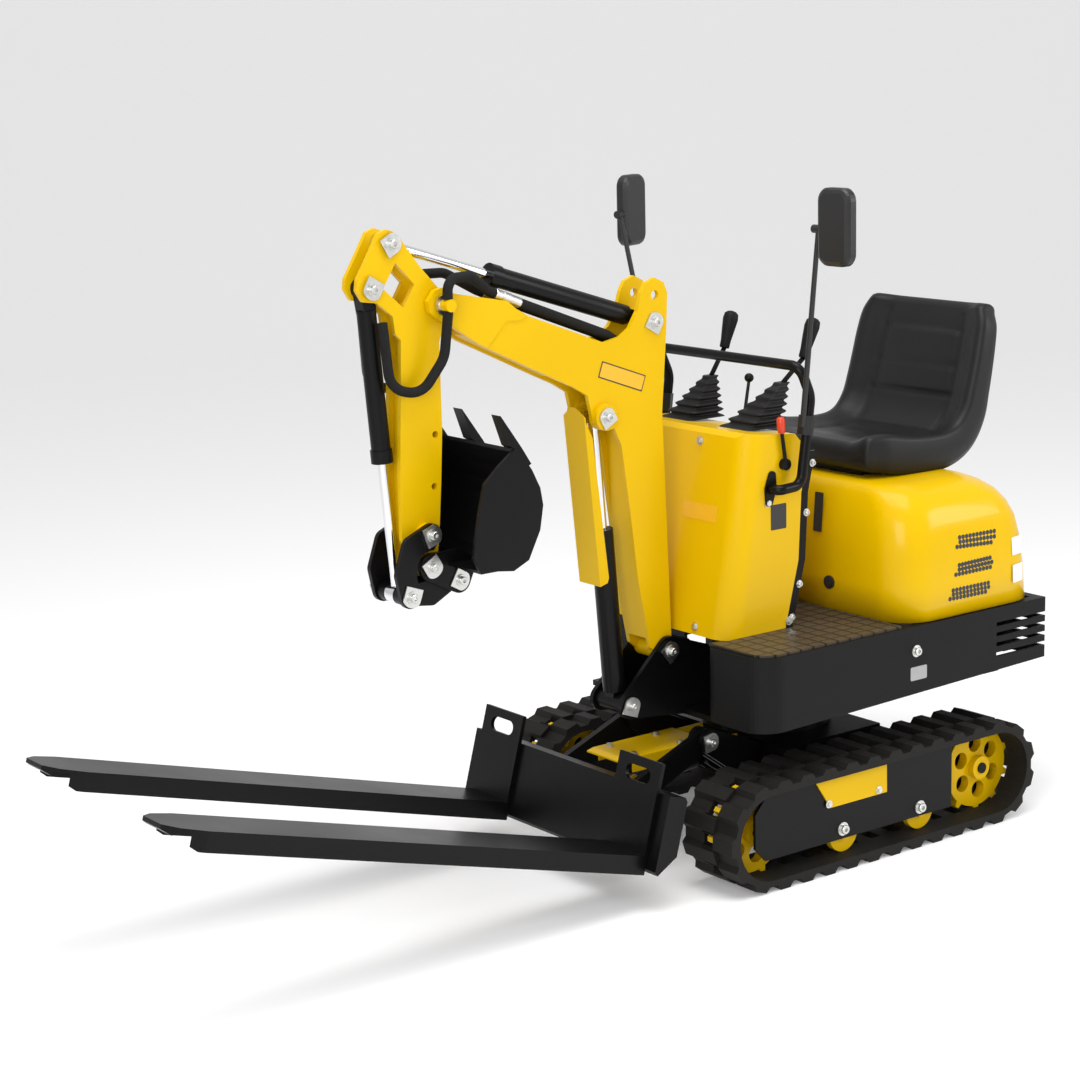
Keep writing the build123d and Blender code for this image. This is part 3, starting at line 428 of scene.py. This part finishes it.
FRAME_BOLTS = ((-0.137, 0.095), (0.127, 0.093))
COVER_BOLTS = ((-0.187, 0.169), (-0.019, 0.169))
scatter(
    "roller_bolts", cap_screw(),
    [((side * 0.422, y, z), (side, 0, 0), 0.3) for side in SIDES for y, z in FRAME_BOLTS],
    0.034, zinc, "undercarriage",
)
scatter(
    "cover_bolts", hex_bolt(),
    [((side * 0.426, y, z), (side, 0, 0), 0.2) for side in SIDES for y, z in COVER_BOLTS],
    0.020, zinc, "undercarriage",
)

scatter(
    "hose_guard_bolts", hex_bolt(),
    [((side * 0.048, y, 0.267), (0, 0, 1), 0.2) for side in SIDES for y in (-0.480, -0.330)],
    0.022, zinc, "undercarriage",
)

# ---- Skirt ---------------------------------------------------------------------------
# One black moulding round the deck, with a round corner at the foot box, a gauge and a bare
# grey plate on its left side.
FOOT_CORNER = (0.420, -0.392)
FOOT_RADIUS = 0.070
FOOT_NEAR = 0.012
FOOT_FACETS = 10


def make_skirt():
    """The skirt's own mesh, with the foot box's outer front corner made round."""
    mesh = nodes["skirt"].data.copy()
    edit = bmesh.new()
    edit.from_mesh(mesh)
    bmesh.ops.remove_doubles(edit, verts=edit.verts, dist=1e-5)
    bmesh.ops.dissolve_limit(edit, angle_limit=radians(0.5), verts=edit.verts, edges=edit.edges)
    x, y = FOOT_CORNER
    for edge in list(edit.edges):
        if not edge.is_valid:
            continue
        low, high = (v.co for v in edge.verts)
        upright = abs(low.x - high.x) < 1e-4 and abs(low.y - high.y) < 1e-4
        away = max(abs(low.x - x), abs(low.y - y))
        if upright and away < FOOT_NEAR:
            bmesh.ops.bevel(edit, geom=[edge], offset=FOOT_RADIUS - away, segments=FOOT_FACETS,
                            profile=0.5, affect="EDGES")
    edit.to_mesh(mesh)
    edit.free()
    piece = bpy.data.objects.new("skirt_moulding", mesh)
    bpy.context.collection.objects.link(piece)
    mesh.materials.clear()
    mesh.materials.append(black_moulding)
    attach(piece, "upper")
    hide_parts("skirt")


make_skirt()


def make_label(tint, edge):
    """A bare printed plate: plain ground, fine grain."""
    material, shader = principled("bare_plate_" + edge, tint, 0.45)
    relief(material, shader, 500.0, 0.1, 0.0003, 2.0)
    drift(material, shader, tuple(c * 0.9 for c in tint), tint, 60.0, 0.38, 0.5)
    return material


plate_grey = make_label((0.35, 0.35, 0.35), "grey")
plate_white = make_label((0.80, 0.80, 0.78), "white")
# This dark plate finish is also used as painted shade in the hood's perforations.
dark_plate_and_hole_shade = make_label((0.02, 0.02, 0.02), "dark")
plate_amber = make_label((0.78, 0.42, 0.01), "amber")


def rounded(width, height, radius, steps=4):
    """Corners of a rounded rectangle."""
    corners = []
    for quarter, (sx, sy) in enumerate(((1, 1), (-1, 1), (-1, -1), (1, -1))):
        for i in range(steps + 1):
            a = quarter * pi / 2 + i * pi / 2 / steps
            x, y = sx * (width / 2 - radius), sy * (height / 2 - radius)
            corners.append((x + radius * cos(a), y + radius * sin(a)))
    return corners


def plate(name, centre, facing, width, height, thick, radius, material, body, lean=0.0):
    """A bare plate with rounded corners, its back on the centre point."""
    corners, faces = prism(rounded(width, height, radius), 0.0, thick)
    face = Vector(facing).normalized()
    across = Vector((0, 0, 1)).cross(face)
    across = across.normalized() if across.length > 1e-6 else Vector((1, 0, 0))
    upwards = face.cross(across)
    turned = Matrix((across, upwards, face)).transposed() @ Matrix.Rotation(lean, 3, "Z")
    piece = mesh_object(name, [turned @ Vector(c) + Vector(centre) for c in corners], faces, material)
    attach(piece, body)
    return piece


plate("skirt_plate", (0.420, 0.122, 0.438), (1, 0, 0), 0.056, 0.034, 0.001, 0.004, plate_grey,
      "upper")
scatter("skirt_gauge", cap_screw(), [((0.420, 0.113, 0.495), (1, 0, 0), 0.0)], 0.030, zinc,
        "upper")


# ---- Mat -----------------------------------------------------------------------------
# A brown-black rubber mat on the foot plate, with a grid of grooves that are darkened with painted shade.
MAT_PITCH = 0.040


def make_mat_rubber():
    material, shader = principled("mat_rubber_skin", (0.05, 0.036, 0.022), 0.5)
    drift(material, shader, (0.040, 0.028, 0.018), (0.075, 0.055, 0.034), 12.0, 0.38, 0.55)
    tree = material.node_tree
    place = tree.nodes.new("ShaderNodeTexCoord")
    waves = []
    for angle in (0.0, pi / 2):
        turned = tree.nodes.new("ShaderNodeMapping")
        turned.inputs["Rotation"].default_value = (0, 0, angle)
        wave = tree.nodes.new("ShaderNodeTexWave")
        wave.inputs["Scale"].default_value = pi / 10 / MAT_PITCH
        sharp = tree.nodes.new("ShaderNodeMapRange")
        sharp.inputs["From Min"].default_value = 0.90
        sharp.inputs["From Max"].default_value = 0.98
        tree.links.new(place.outputs["Object"], turned.inputs["Vector"])
        tree.links.new(turned.outputs["Vector"], wave.inputs["Vector"])
        tree.links.new(wave.outputs["Fac"], sharp.inputs["Value"])
        waves.append(sharp)
    both = tree.nodes.new("ShaderNodeMath")
    both.operation = "MAXIMUM"
    bump = tree.nodes.new("ShaderNodeBump")
    bump.inputs["Strength"].default_value = 1.0
    bump.inputs["Distance"].default_value = 0.004
    bump.invert = True
    tree.links.new(waves[0].outputs["Result"], both.inputs[0])
    tree.links.new(waves[1].outputs["Result"], both.inputs[1])
    tree.links.new(both.outputs["Value"], bump.inputs["Height"])
    tree.links.new(bump.outputs["Normal"], shader.inputs["Normal"])
    # Painted shade: the grooves' colour is mixed towards near black, standing in for the shade inside them.
    ground = shader.inputs["Base Color"].links[0].from_socket
    groove_shade = tree.nodes.new("ShaderNodeMix")
    groove_shade.data_type = "RGBA"
    groove_shade.inputs["B"].default_value = (0.004, 0.003, 0.002, 1.0)
    tree.links.new(both.outputs["Value"], groove_shade.inputs["Factor"])
    tree.links.new(ground, groove_shade.inputs["A"])
    tree.links.new(groove_shade.outputs["Result"], shader.inputs["Base Color"])
    return material


paint(make_mat_rubber(), "floor_mat")

# ---- Console and its strap frame -----------------------------------------------------
# A yellow moulding bolted to the floor, with a flat steel frame at its open side.
paint(yellow_moulding, "console")
paint(black_paint, "console_frame", "handrail")
CONSOLE_SCREWS = (
    ((0.229, -0.132, 0.578), (1, 0, 0)), ((0.229, -0.149, 0.969), (1, 0, 0)),
    ((0.229, -0.200, 0.880), (1, 0, 0)),
    ((-0.229, -0.132, 0.578), (-1, 0, 0)), ((-0.229, -0.149, 0.969), (-1, 0, 0)),
    ((0.110, -0.3325, 0.575), (0, -1, 0.15)), ((-0.110, -0.3325, 0.575), (0, -1, 0.15)),
    ((0.060, -0.2655, 1.020), (0, -1, 0.15)), ((-0.120, -0.2655, 1.020), (0, -1, 0.15)),
)
scatter(
    "console_screws", hex_bolt(), [(place, facing, 0.4) for place, facing in CONSOLE_SCREWS],
    0.022, zinc, "upper",
)
FRAME_SCREWS = ((-0.0657, 0.960), (-0.086, 0.840), (-0.110, 0.665), (-0.135, 0.585))
scatter(
    "strap_screws", cap_screw(),
    [((side * 0.229, y + 0.012, z), (side, 0, 0), 0.1) for side in SIDES for y, z in FRAME_SCREWS],
    0.019, zinc, "upper",
)
plate("boom_label_edge", (0.045, -0.494, 1.200), (1, 0, 0), 0.140, 0.040, 0.0006, 0.002, dark_plate_and_hole_shade,
      "boom", lean=radians(-20))
plate("boom_label", (0.0456, -0.494, 1.200), (1, 0, 0), 0.134, 0.034, 0.0005, 0.002, plate_amber,
      "boom", lean=radians(-20))
plate("console_label_side", (0.229, -0.165, 0.842), (1, 0, 0), 0.050, 0.062, 0.0008, 0.003,
      dark_plate_and_hole_shade, "upper")
plate("console_label_front", (0.085, -0.2905, 0.852), (0, -1, 0.151), 0.125, 0.040, 0.0008, 0.003,
      plate_amber, "upper")

# ---- Boom, arm and guard -------------------------------------------------------------
# Welded yellow plates. Each pin is held by a zinc lock plate with one round end, a
# washer and a cap screw.
paint(yellow_paint, "boom", "arm", "rod_guard")


def lock_plate():
    """Square plate with one round side, washer and cap screw, 1 unit across."""
    outline = [(-0.5, -0.5), (0.12, -0.5)]
    outline += [(0.12 + 0.38 * cos(a), 0.5 * sin(a)) for a in [radians(-75 + 15 * i) for i in range(11)]]
    outline += [(0.12, 0.5), (-0.5, 0.5)]
    return joined(
        prism(outline, 0.0, 0.10), prism(ring(0.33, 28), 0.10, 0.16), socket_head(0.22, 0.20, 0.16),
    )


def pin_ends(name, pins, half_x, size, body):
    """Lock plates on both ends of pins across X, given as (y, z, turn in degrees)."""
    spots = []
    for y, z, degrees in pins:
        for side in SIDES:
            spots.append(((side * half_x, y, z), (side, 0, 0), radians(degrees)))
    return scatter(name, lock_plate(), spots, size, zinc, body)


LARGE_LOCK, SMALL_LOCK = 0.046, 0.044
PIN_LOCKS = (
    # name, pins, half the width over the plates, size and body
    ("blade_pivot_locks", [(-0.332, 0.295, 10)], 0.164, SMALL_LOCK, "undercarriage"),
    ("boom_foot_locks", [(-0.371, 0.512, 40), (-0.497, 0.395, 70)], 0.063, LARGE_LOCK, "upper"),
    ("boom_tip_locks", [(-1.006, 1.415, 200)], 0.052, SMALL_LOCK, "boom"),
    ("arm_ram_foot_locks", [(-0.392, 1.320, 60)], 0.045, LARGE_LOCK, "boom"),
    ("boom_ram_locks", [(-0.551, 1.110, 120)], 0.057, SMALL_LOCK, "boom"),
    ("arm_head_locks", [(-1.181, 1.462, 240), (-1.127, 1.558, 30)], 0.034, LARGE_LOCK, "arm"),
    ("arm_foot_locks", [(-1.065, 0.827, 300), (-1.063, 0.902, 20)], 0.062, LARGE_LOCK, "arm"),
)
for entry in PIN_LOCKS:
    pin_ends(*entry)

# ---- Bucket, rocker and link ---------------------------------------------------------
# Black steel. The bucket's lip carries three teeth.
paint(black_paint, "bucket", "bucket_teeth", "rocker", "bucket_link")
pin_ends("rocker_locks", [(-1.125, 0.767, 250)], 0.062, LARGE_LOCK, "rocker")
pin_ends("bucket_link_locks", [(-0.990, 0.787, 330)], 0.062, SMALL_LOCK, "bucket")

# ---- Rams ----------------------------------------------------------------------------
# Black barrels with chrome rods.
paint(black_paint, "boom_ram_barrel", "arm_ram_barrel", "bucket_ram_barrel", "blade_ram_barrel")
paint(chrome, "boom_ram_rod", "arm_ram_rod", "bucket_ram_rod", "blade_ram_rod")

# ---- Blade and forks -----------------------------------------------------------------
# Black steel. Each fork is welded to the blade at its heel.
paint(black_paint, "blade", "fork_left", "fork_right")


# ---- Hoses ---------------------------------------------------------------------------
# Hydraulic hoses in woven black sleeves, with zinc fittings where they end.
def make_sleeve():
    material, shader = principled("sleeve_weave", (0.008, 0.008, 0.008), 0.8)
    shader.inputs["Specular IOR Level"].default_value = 0.2
    relief(material, shader, 700.0, 0.7, 0.0012, 2.0, kind="voronoi")
    drift(material, shader, (0.005, 0.005, 0.005), (0.014, 0.014, 0.014), 40.0, 0.7, 0.9)
    return material


sleeve = make_sleeve()
paint(sleeve, "boom_hoses", "arm_hoses")


def round_bar(start, end, profile_points, sides=20):
    """Corners and faces of a round bar with radii given along its length."""
    start, end = Vector(start), Vector(end)
    turned = (end - start).to_track_quat("Z", "Y")
    rings = []
    for share, radius in profile_points:
        centre = start + (end - start) * share
        rings.append([centre + turned @ Vector((radius * cos(a), radius * sin(a), 0))
                      for a in [2 * pi * i / sides for i in range(sides)]])
    corners, faces = skin_of_rings(rings)
    return corners, faces + [tuple(reversed(range(sides)))]


FERRULE = ((0.0, 0.0120), (0.02, 0.0130), (0.24, 0.0130), (0.26, 0.0123), (0.30, 0.0123), (0.32, 0.0130),
           (0.60, 0.0130), (0.62, 0.0122), (0.96, 0.0122), (1.0, 0.0119))
FERRULE_RUN = (0.0236, -0.845, 1.4243), (0.0231, -0.775, 1.3975)
for name, side in (("left", 1), ("right", -1)):
    near, far = [(side * x, y, z) for x, y, z in FERRULE_RUN]
    ferrule = mesh_object(f"hose_ferrule_{name}", *round_bar(near, far, FERRULE, 18), zinc)
    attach(ferrule, "boom")


# ---- Engine block --------------------------------------------------------------------
# Grey cast iron under the hood.
def make_iron():
    material, shader = principled("cast_iron_skin", (0.10, 0.10, 0.105), 0.6, 0.6)
    relief(material, shader, 220.0, 0.5, 0.002, 6.0)
    drift(material, shader, (0.07, 0.07, 0.075), (0.14, 0.14, 0.145), 12.0, 0.5, 0.7)
    return material


paint(make_iron(), "engine")

# ---- Hood ----------------------------------------------------------------------------
# One smooth yellow moulding with soft corners, three rows of perforations on each side drawn
# as dark hexagons of painted shade, and a black push button at the front.
HOOD_SKIN = 0.005
HOOD_RINGS = (
    # z, half width, front y, rear y, corner radius
    (0.558, 0.411, 0.081, 0.573, 0.100),
    (0.640, 0.410, 0.083, 0.566, 0.100),
    (0.720, 0.407, 0.086, 0.556, 0.102),
    (0.775, 0.402, 0.090, 0.542, 0.104),
    (0.812, 0.392, 0.096, 0.524, 0.106),
    (0.842, 0.376, 0.103, 0.500, 0.106),
    (0.864, 0.352, 0.110, 0.468, 0.102),
    (0.878, 0.326, 0.118, 0.434, 0.094),
    (0.885, 0.290, 0.132, 0.404, 0.080),
    (0.8855, 0.200, 0.180, 0.360, 0.060),
    (0.8855, 0.070, 0.240, 0.300, 0.028),
)
CORNER_STEPS = 10


def rounded_ring(half_x, front, rear, radius, z):
    """Points round a rounded rectangle in plan, the same count for every ring."""
    points = []
    for quarter, (sx, y) in enumerate(((1, rear), (-1, rear), (-1, front), (1, front))):
        sy = 1 if y == rear else -1
        cx, cy = sx * (half_x - radius), y - sy * radius
        for i in range(CORNER_STEPS + 1):
            a = quarter * pi / 2 + i * pi / 2 / CORNER_STEPS
            points.append((cx + radius * cos(a), cy + radius * sin(a), z))
    return points


corners, faces = skin_of_rings([rounded_ring(x, front, rear, r, z) for z, x, front, rear, r in HOOD_RINGS])
hood = mesh_object("hood_moulding", corners, faces, yellow_moulding, smooth=True)
wall = hood.modifiers.new("wall", "SOLIDIFY")
wall.thickness = HOOD_SKIN
wall.offset = -1.0
settle(hood)
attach(hood, "hood")
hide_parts("hood")


def hood_point(side, y, z):
    """Where a ray from the side meets the hood, and the surface's direction there."""
    place, normal, _, _ = hood_tree.ray_cast(Vector((side * 1.0, y, z)), Vector((-side, 0, 0)))
    return place, normal


hood_edit = bmesh.new()
hood_edit.from_mesh(hood.data)
hood_tree = BVHTree.FromBMesh(hood_edit)

VENTS = (
    ((0.275, 0.758), (0.419, 0.757), (0.259, 0.725), (0.398, 0.717)),
    ((0.272, 0.689), (0.395, 0.692), (0.252, 0.656), (0.398, 0.656)),
    ((0.248, 0.628), (0.392, 0.628), (0.231, 0.598), (0.378, 0.596)),
)
VENT_ROWS = 3
VENT_COLUMNS = 11
spots = []
for side in SIDES:
    for top_left, top_right, low_left, low_right in VENTS:
        for row in range(VENT_ROWS):
            for column in range(VENT_COLUMNS):
                down = (row + 0.5) / VENT_ROWS
                along = (column + 0.5 + 0.5 * (row % 2)) / (VENT_COLUMNS + 0.5)
                start = [t + (l - t) * down for t, l in zip(top_left, low_left)]
                end = [t + (l - t) * down for t, l in zip(top_right, low_right)]
                y, z = (s + (e - s) * along for s, e in zip(start, end))
                place, normal = hood_point(side, y, z)
                spots.append((place, normal, pi / 6))
# Painted shade: each perforation is a dark hexagon on the hood's face, standing in for the dark inside seen
# through a hole.
scatter("hood_perforations", prism(ring(0.5, 6), -0.02, 0.035), spots, 0.0128, dark_plate_and_hole_shade, "hood")
scatter("hood_button", joined(prism(ring(0.5, 32), 0.0, 0.18), prism(ring(0.36, 32), 0.18, 0.30)),
        [((0.149, 0.0825, 0.628), (0, -1, 0), 0.0)], 0.034, dark_plate_and_hole_shade, "hood")
plate("hood_plate_front", (0.100, 0.0895, 0.800), (0, -1, 0.08), 0.030, 0.100, 0.001, 0.003,
      dark_plate_and_hole_shade, "hood")
for index, z in enumerate((0.702, 0.632)):
    place, normal = hood_point(1, 0.487, z)
    plate(f"hood_plate_rear_{index + 1}", place, normal, 0.048, 0.046, 0.0008, 0.003, plate_white, "hood")


# ---- Seat ----------------------------------------------------------------------------
# One moulded foam seat in black vinyl: a deep pan, a back with two raised panels, and a
# rolled edge all round.
def make_vinyl():
    material, shader = principled("vinyl_skin", (0.006, 0.006, 0.0065), 0.42)
    shader.inputs["Specular IOR Level"].default_value = 0.28
    relief(material, shader, 650.0, 0.35, 0.0006, 3.0, kind="voronoi")
    drift(material, shader, (0.004, 0.004, 0.0045), (0.009, 0.009, 0.0095), 9.0, 0.36, 0.52)
    return material


SEAT_LINE = (
    # y and z along the middle of the seat's face, its half width and its depth
    (0.168, 0.972, 0.214, 0.070), (0.215, 0.974, 0.226, 0.078), (0.280, 0.964, 0.230, 0.080),
    (0.350, 0.958, 0.232, 0.078), (0.420, 0.960, 0.232, 0.074), (0.470, 0.978, 0.232, 0.068),
    (0.505, 1.020, 0.232, 0.062), (0.525, 1.075, 0.231, 0.056), (0.541, 1.130, 0.230, 0.052),
    (0.557, 1.190, 0.228, 0.048), (0.572, 1.240, 0.222, 0.044), (0.584, 1.272, 0.206, 0.040),
)
SEAT_ACROSS = 36
SEAT_BETWEEN = 7
BOLSTER = 0.024
BOLSTER_FOOT, BOLSTER_CREST = 0.62, 0.92
BACK_SEAMS = (0.60, 0.72, 0.86)
PAN_SEAMS = (0.16, 0.25, 0.34, 0.43)
SEAT_ENDS = ((0.0, 1.0), (0.010, 0.86), (0.017, 0.60), (0.020, 0.25))


def seat_line(t):
    """A smooth point, half width and depth along the seat's middle line, t from 0 to 1."""
    span = t * (len(SEAT_LINE) - 1)
    i = min(int(span), len(SEAT_LINE) - 2)
    f = span - i
    rows = [SEAT_LINE[min(max(k, 0), len(SEAT_LINE) - 1)] for k in (i - 1, i, i + 1, i + 2)]
    result = []
    for a, b, c, d in zip(*rows):
        square, cube = 2 * a - 5 * b + 4 * c - d, 3 * b - 3 * c + d - a
        result.append(0.5 * (2 * b + (c - a) * f + square * f**2 + cube * f**3))
    return result


def groove(value, centre, width):
    """A soft groove round a centre value, from 0 to 1."""
    return max(0.0, 1.0 - abs(value - centre) / width) ** 1.5


def seat_height(u, t):
    """How far the face stands above the middle line at u across and t along."""
    if abs(u) < BOLSTER_CREST:
        rise = BOLSTER * max(0.0, (abs(u) - BOLSTER_FOOT) / 0.30) ** 1.4
    else:
        rise = BOLSTER * (1 - (abs(u) - BOLSTER_CREST) * 4)
    rise -= 0.006 * groove(abs(u), BOLSTER_FOOT, 0.05) * (1.0 if 0.10 < t < 0.95 else 0.0)
    if abs(u) < BOLSTER_FOOT:
        for line in BACK_SEAMS:
            rise -= 0.006 * groove(t, line, 0.014)
        for line in PAN_SEAMS:
            rise -= 0.003 * groove(t, line, 0.012)
        low, middle, high = BACK_SEAMS
        in_panel = 1.0 if low < t < middle or middle < t < high else 0.0
        rise += 0.006 * in_panel * (1 - (abs(u) / BOLSTER_FOOT) ** 6)
    return rise


def seat_ring(t, beyond, share):
    """One closed section of the seat: its face, its rolled sides and its underside."""
    y, z, half, depth = seat_line(t)
    after, before = seat_line(min(t + 0.01, 1.0)), seat_line(max(t - 0.01, 0.0))
    along = Vector((0, after[0] - before[0], after[1] - before[1])).normalized()
    normal = Vector((1, 0, 0)).cross(along)
    middle = -depth / 2
    section = []
    for i in range(SEAT_ACROSS + 1):
        u = 2 * i / SEAT_ACROSS - 1
        section.append((u * half * 0.985, seat_height(u, t)))
    edge = seat_height(1.0, t)
    side = [(1.0, edge - 0.010), (1.0, -depth * 0.45), (0.985, -depth * 0.8), (0.95, -depth)]
    under = [(0.6, -depth), (0.2, -depth), (-0.2, -depth), (-0.6, -depth)]
    section += [(w * half, h) for w, h in side] + [(w * half, h) for w, h in under]
    section += [(-w * half, h) for w, h in reversed(side)]
    shift = along * (beyond if t > 0.5 else -beyond)
    ring_points = []
    for x, h in section:
        lower = middle + (h - middle) * share
        ring_points.append(Vector((x * (0.92 + 0.08 * share), y, z)) + normal * lower + shift)
    return ring_points


def make_seat():
    count = SEAT_BETWEEN * (len(SEAT_LINE) - 1) + 1
    rings = [seat_ring(0.0, beyond, share) for beyond, share in reversed(SEAT_ENDS[1:])]
    rings += [seat_ring(j / (count - 1), 0.0, 1.0) for j in range(count)]
    rings += [seat_ring(1.0, beyond, share) for beyond, share in SEAT_ENDS[1:]]
    corners, faces = skin_of_rings(rings)
    faces.append(tuple(reversed(range(len(rings[0])))))
    return mesh_object("seat_cushion", corners, faces, make_vinyl(), smooth=True)


seat = make_seat()
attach(seat, "hood")
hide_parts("seat")
paint(black_paint, "seat_base")


# ---- Levers --------------------------------------------------------------------------
# Two levers that lean back out of square rubber bellows, each with a shaped black grip.
def make_boot_rubber():
    material, shader = principled("boot_rubber_skin", (0.006, 0.006, 0.006), 0.5)
    shader.inputs["Specular IOR Level"].default_value = 0.22
    relief(material, shader, 500.0, 0.2, 0.0006, 4.0)
    drift(material, shader, (0.004, 0.004, 0.004), (0.010, 0.010, 0.010), 20.0, 0.4, 0.6)
    return material


BOOT_FOLDS = 6
BOOT_FOOT = (-0.142, 1.048)
BOOT_WIDE = 0.062
BOOT_NARROW = 0.015
LEVERS = (
    # x, top of the bellows, lower and upper end of the grip, as (y, z)
    (0.110, (-0.042, 1.1445), (0.029, 1.197), (0.067, 1.293)),
    (-0.110, (-0.082, 1.1445), (-0.036, 1.209), (-0.008, 1.300)),
)
GRIP = ((0.0, 0.011), (0.03, 0.0125), (0.20, 0.0130), (0.50, 0.0165), (0.78, 0.0195), (0.92, 0.0175),
        (0.98, 0.011), (1.0, 0.003))


def make_levers():
    bellows, grips = ([], []), ([], [])
    for x, apex, low, high in LEVERS:
        rings = []
        steps = BOOT_FOLDS * 6
        for k in range(steps + 1):
            t = k / steps
            wave = 0.5 + 0.5 * cos(2 * pi * t * BOOT_FOLDS)
            half = (BOOT_WIDE + (BOOT_NARROW - BOOT_WIDE) * t) * (0.78 + 0.22 * wave)
            y = BOOT_FOOT[0] + (apex[0] - BOOT_FOOT[0]) * t
            z = BOOT_FOOT[1] + (apex[1] - BOOT_FOOT[1]) * t
            rings.append([(x + v, y + w, z) for v, w in rounded(2 * half, 2 * half, half * 0.3)])
        bellows = joined(bellows, skin_of_rings(rings))
        stem = round_bar((x, apex[0], apex[1] - 0.004), (x, *low), ((0.0, 0.006), (1.0, 0.006)))
        grips = joined(grips, stem, round_bar((x, *low), (x, *high), GRIP))
    boots = mesh_object("lever_bellows", *bellows, make_boot_rubber(), smooth=True)
    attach(boots, "upper")
    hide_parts("lever_boots")
    levers = mesh_object("lever_grips", *grips, black_moulding, smooth=True)
    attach(levers, "upper")
    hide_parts("joysticks")


make_levers()

# ---- Small levers --------------------------------------------------------------------
# A safety lever with a red knob on the console's left side, and a ball lever on its top.
def make_red_plastic():
    material, shader = principled("red_knob_skin", (0.60, 0.035, 0.006), 0.35)
    relief(material, shader, 300.0, 0.1, 0.0004, 2.0)
    drift(material, shader, (0.50, 0.028, 0.005), (0.66, 0.045, 0.008), 40.0, 0.30, 0.42)
    return material


KNOB = ((0.0, 0.006), (0.06, 0.009), (0.50, 0.0105), (0.90, 0.0100), (1.0, 0.006))
BOSS = ((0.0, 0.014), (0.9, 0.014), (1.0, 0.012))
BALL = [(0.5 - 0.5 * cos(pi * i / 12), 0.0115 * sin(pi * i / 12) + 0.0002) for i in range(13)]
safety_knob = mesh_object(
    "safety_knob", *round_bar((0.2385, -0.1620, 1.046), (0.2385, -0.1660, 1.086), KNOB),
    make_red_plastic(), smooth=True,
)
small_levers = mesh_object("small_levers", *joined(
    round_bar((0.2290, -0.1490, 0.969), (0.2440, -0.1490, 0.969), BOSS, 24),
    round_bar((0.2385, -0.1490, 0.969), (0.2385, -0.1620, 1.050), ((0.0, 0.0050), (1.0, 0.0045)), 12),
    round_bar((0.020, -0.0900, 1.036), (0.020, -0.0700, 1.142), ((0.0, 0.0045), (1.0, 0.0040)), 12),
    round_bar((0.020, -0.0710, 1.138), (0.020, -0.0680, 1.1608), BALL, 24),
), black_paint)
for small in (safety_knob, small_levers):
    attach(small, "upper")

# ---- Mirrors -------------------------------------------------------------------------
# Black heads with a glass on the driver's side, each on a thin stalk that is clamped to
# the handrail.
MIRROR_TURN = {"left": 0.0, "right": radians(110)}
MIRROR_WIDE, MIRROR_HIGH = 0.106, 0.180
MIRROR_BACK = ((0.0, 0.012), (0.004, 0.004), (0.010, 0.0), (0.026, 0.0), (0.030, 0.003))
RAIL_X = 0.262


def make_glass():
    """Silvered mirror glass."""
    material, shader = principled("mirror_glass", (0.85, 0.87, 0.88), 0.03, 1.0)
    relief(material, shader, 4.0, 0.01, 0.0002, 1.0)
    drift(material, shader, (0.82, 0.84, 0.85), (0.88, 0.90, 0.91), 3.0, 0.02, 0.05)
    return material


mirror_glass = make_glass()
mirror_black = make_label((0.006, 0.006, 0.0065), "mirror")
for side_name, side in (("left", 1), ("right", -1)):
    joint = Vector((side * 0.364, -0.160, 1.540))
    angle = MIRROR_TURN[side_name]
    along_head, away = Vector((cos(angle), sin(angle), 0)), Vector((sin(angle), -cos(angle), 0))
    middle = joint + along_head * (MIRROR_WIDE / 2 + 0.006) + Vector((0, 0, 0.007))
    rings = []
    for depth, inset in reversed(MIRROR_BACK):
        outline = rounded(MIRROR_WIDE - 2 * inset, MIRROR_HIGH - 2 * inset, 0.030 - inset, 6)
        rings.append([middle + along_head * x + Vector((0, 0, z)) + away * (0.015 - depth)
                      for x, z in outline])
    head_corners, head_faces = skin_of_rings(rings)
    head_faces.append(tuple(reversed(range(len(rings[0])))))
    foot = Vector((side * (RAIL_X + 0.006), -0.122, 1.062))
    corners, faces = joined(
        (head_corners, head_faces),
        round_bar(foot, joint, ((0.0, 0.007), (0.97, 0.006), (1.0, 0.006)), 16),
        round_bar(joint - along_head * 0.016, joint + along_head * 0.012, ((0.0, 0.010), (1.0, 0.010)), 16),
        round_bar((side * RAIL_X, -0.1085, 1.040), (side * RAIL_X, -0.102, 1.086),
                  ((0.0, 0.020), (1.0, 0.020)), 6),
    )
    mirror = mesh_object(f"mirror_head_{side_name}", corners, faces, mirror_black)
    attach(mirror, "upper")
    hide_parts(f"mirror_{side_name}")
    face = [middle + along_head * x + Vector((0, 0, z)) - away * 0.0155
            for x, z in rounded(MIRROR_WIDE - 0.014, MIRROR_HIGH - 0.014, 0.024, 6)]
    back = [point - away * 0.0008 for point in face]
    glass_corners, glass_faces = skin_of_rings([face, back])
    glass_faces.append(tuple(reversed(range(len(face)))))
    glass = mesh_object(f"mirror_glass_{side_name}", glass_corners, glass_faces, mirror_glass)
    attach(glass, "upper")
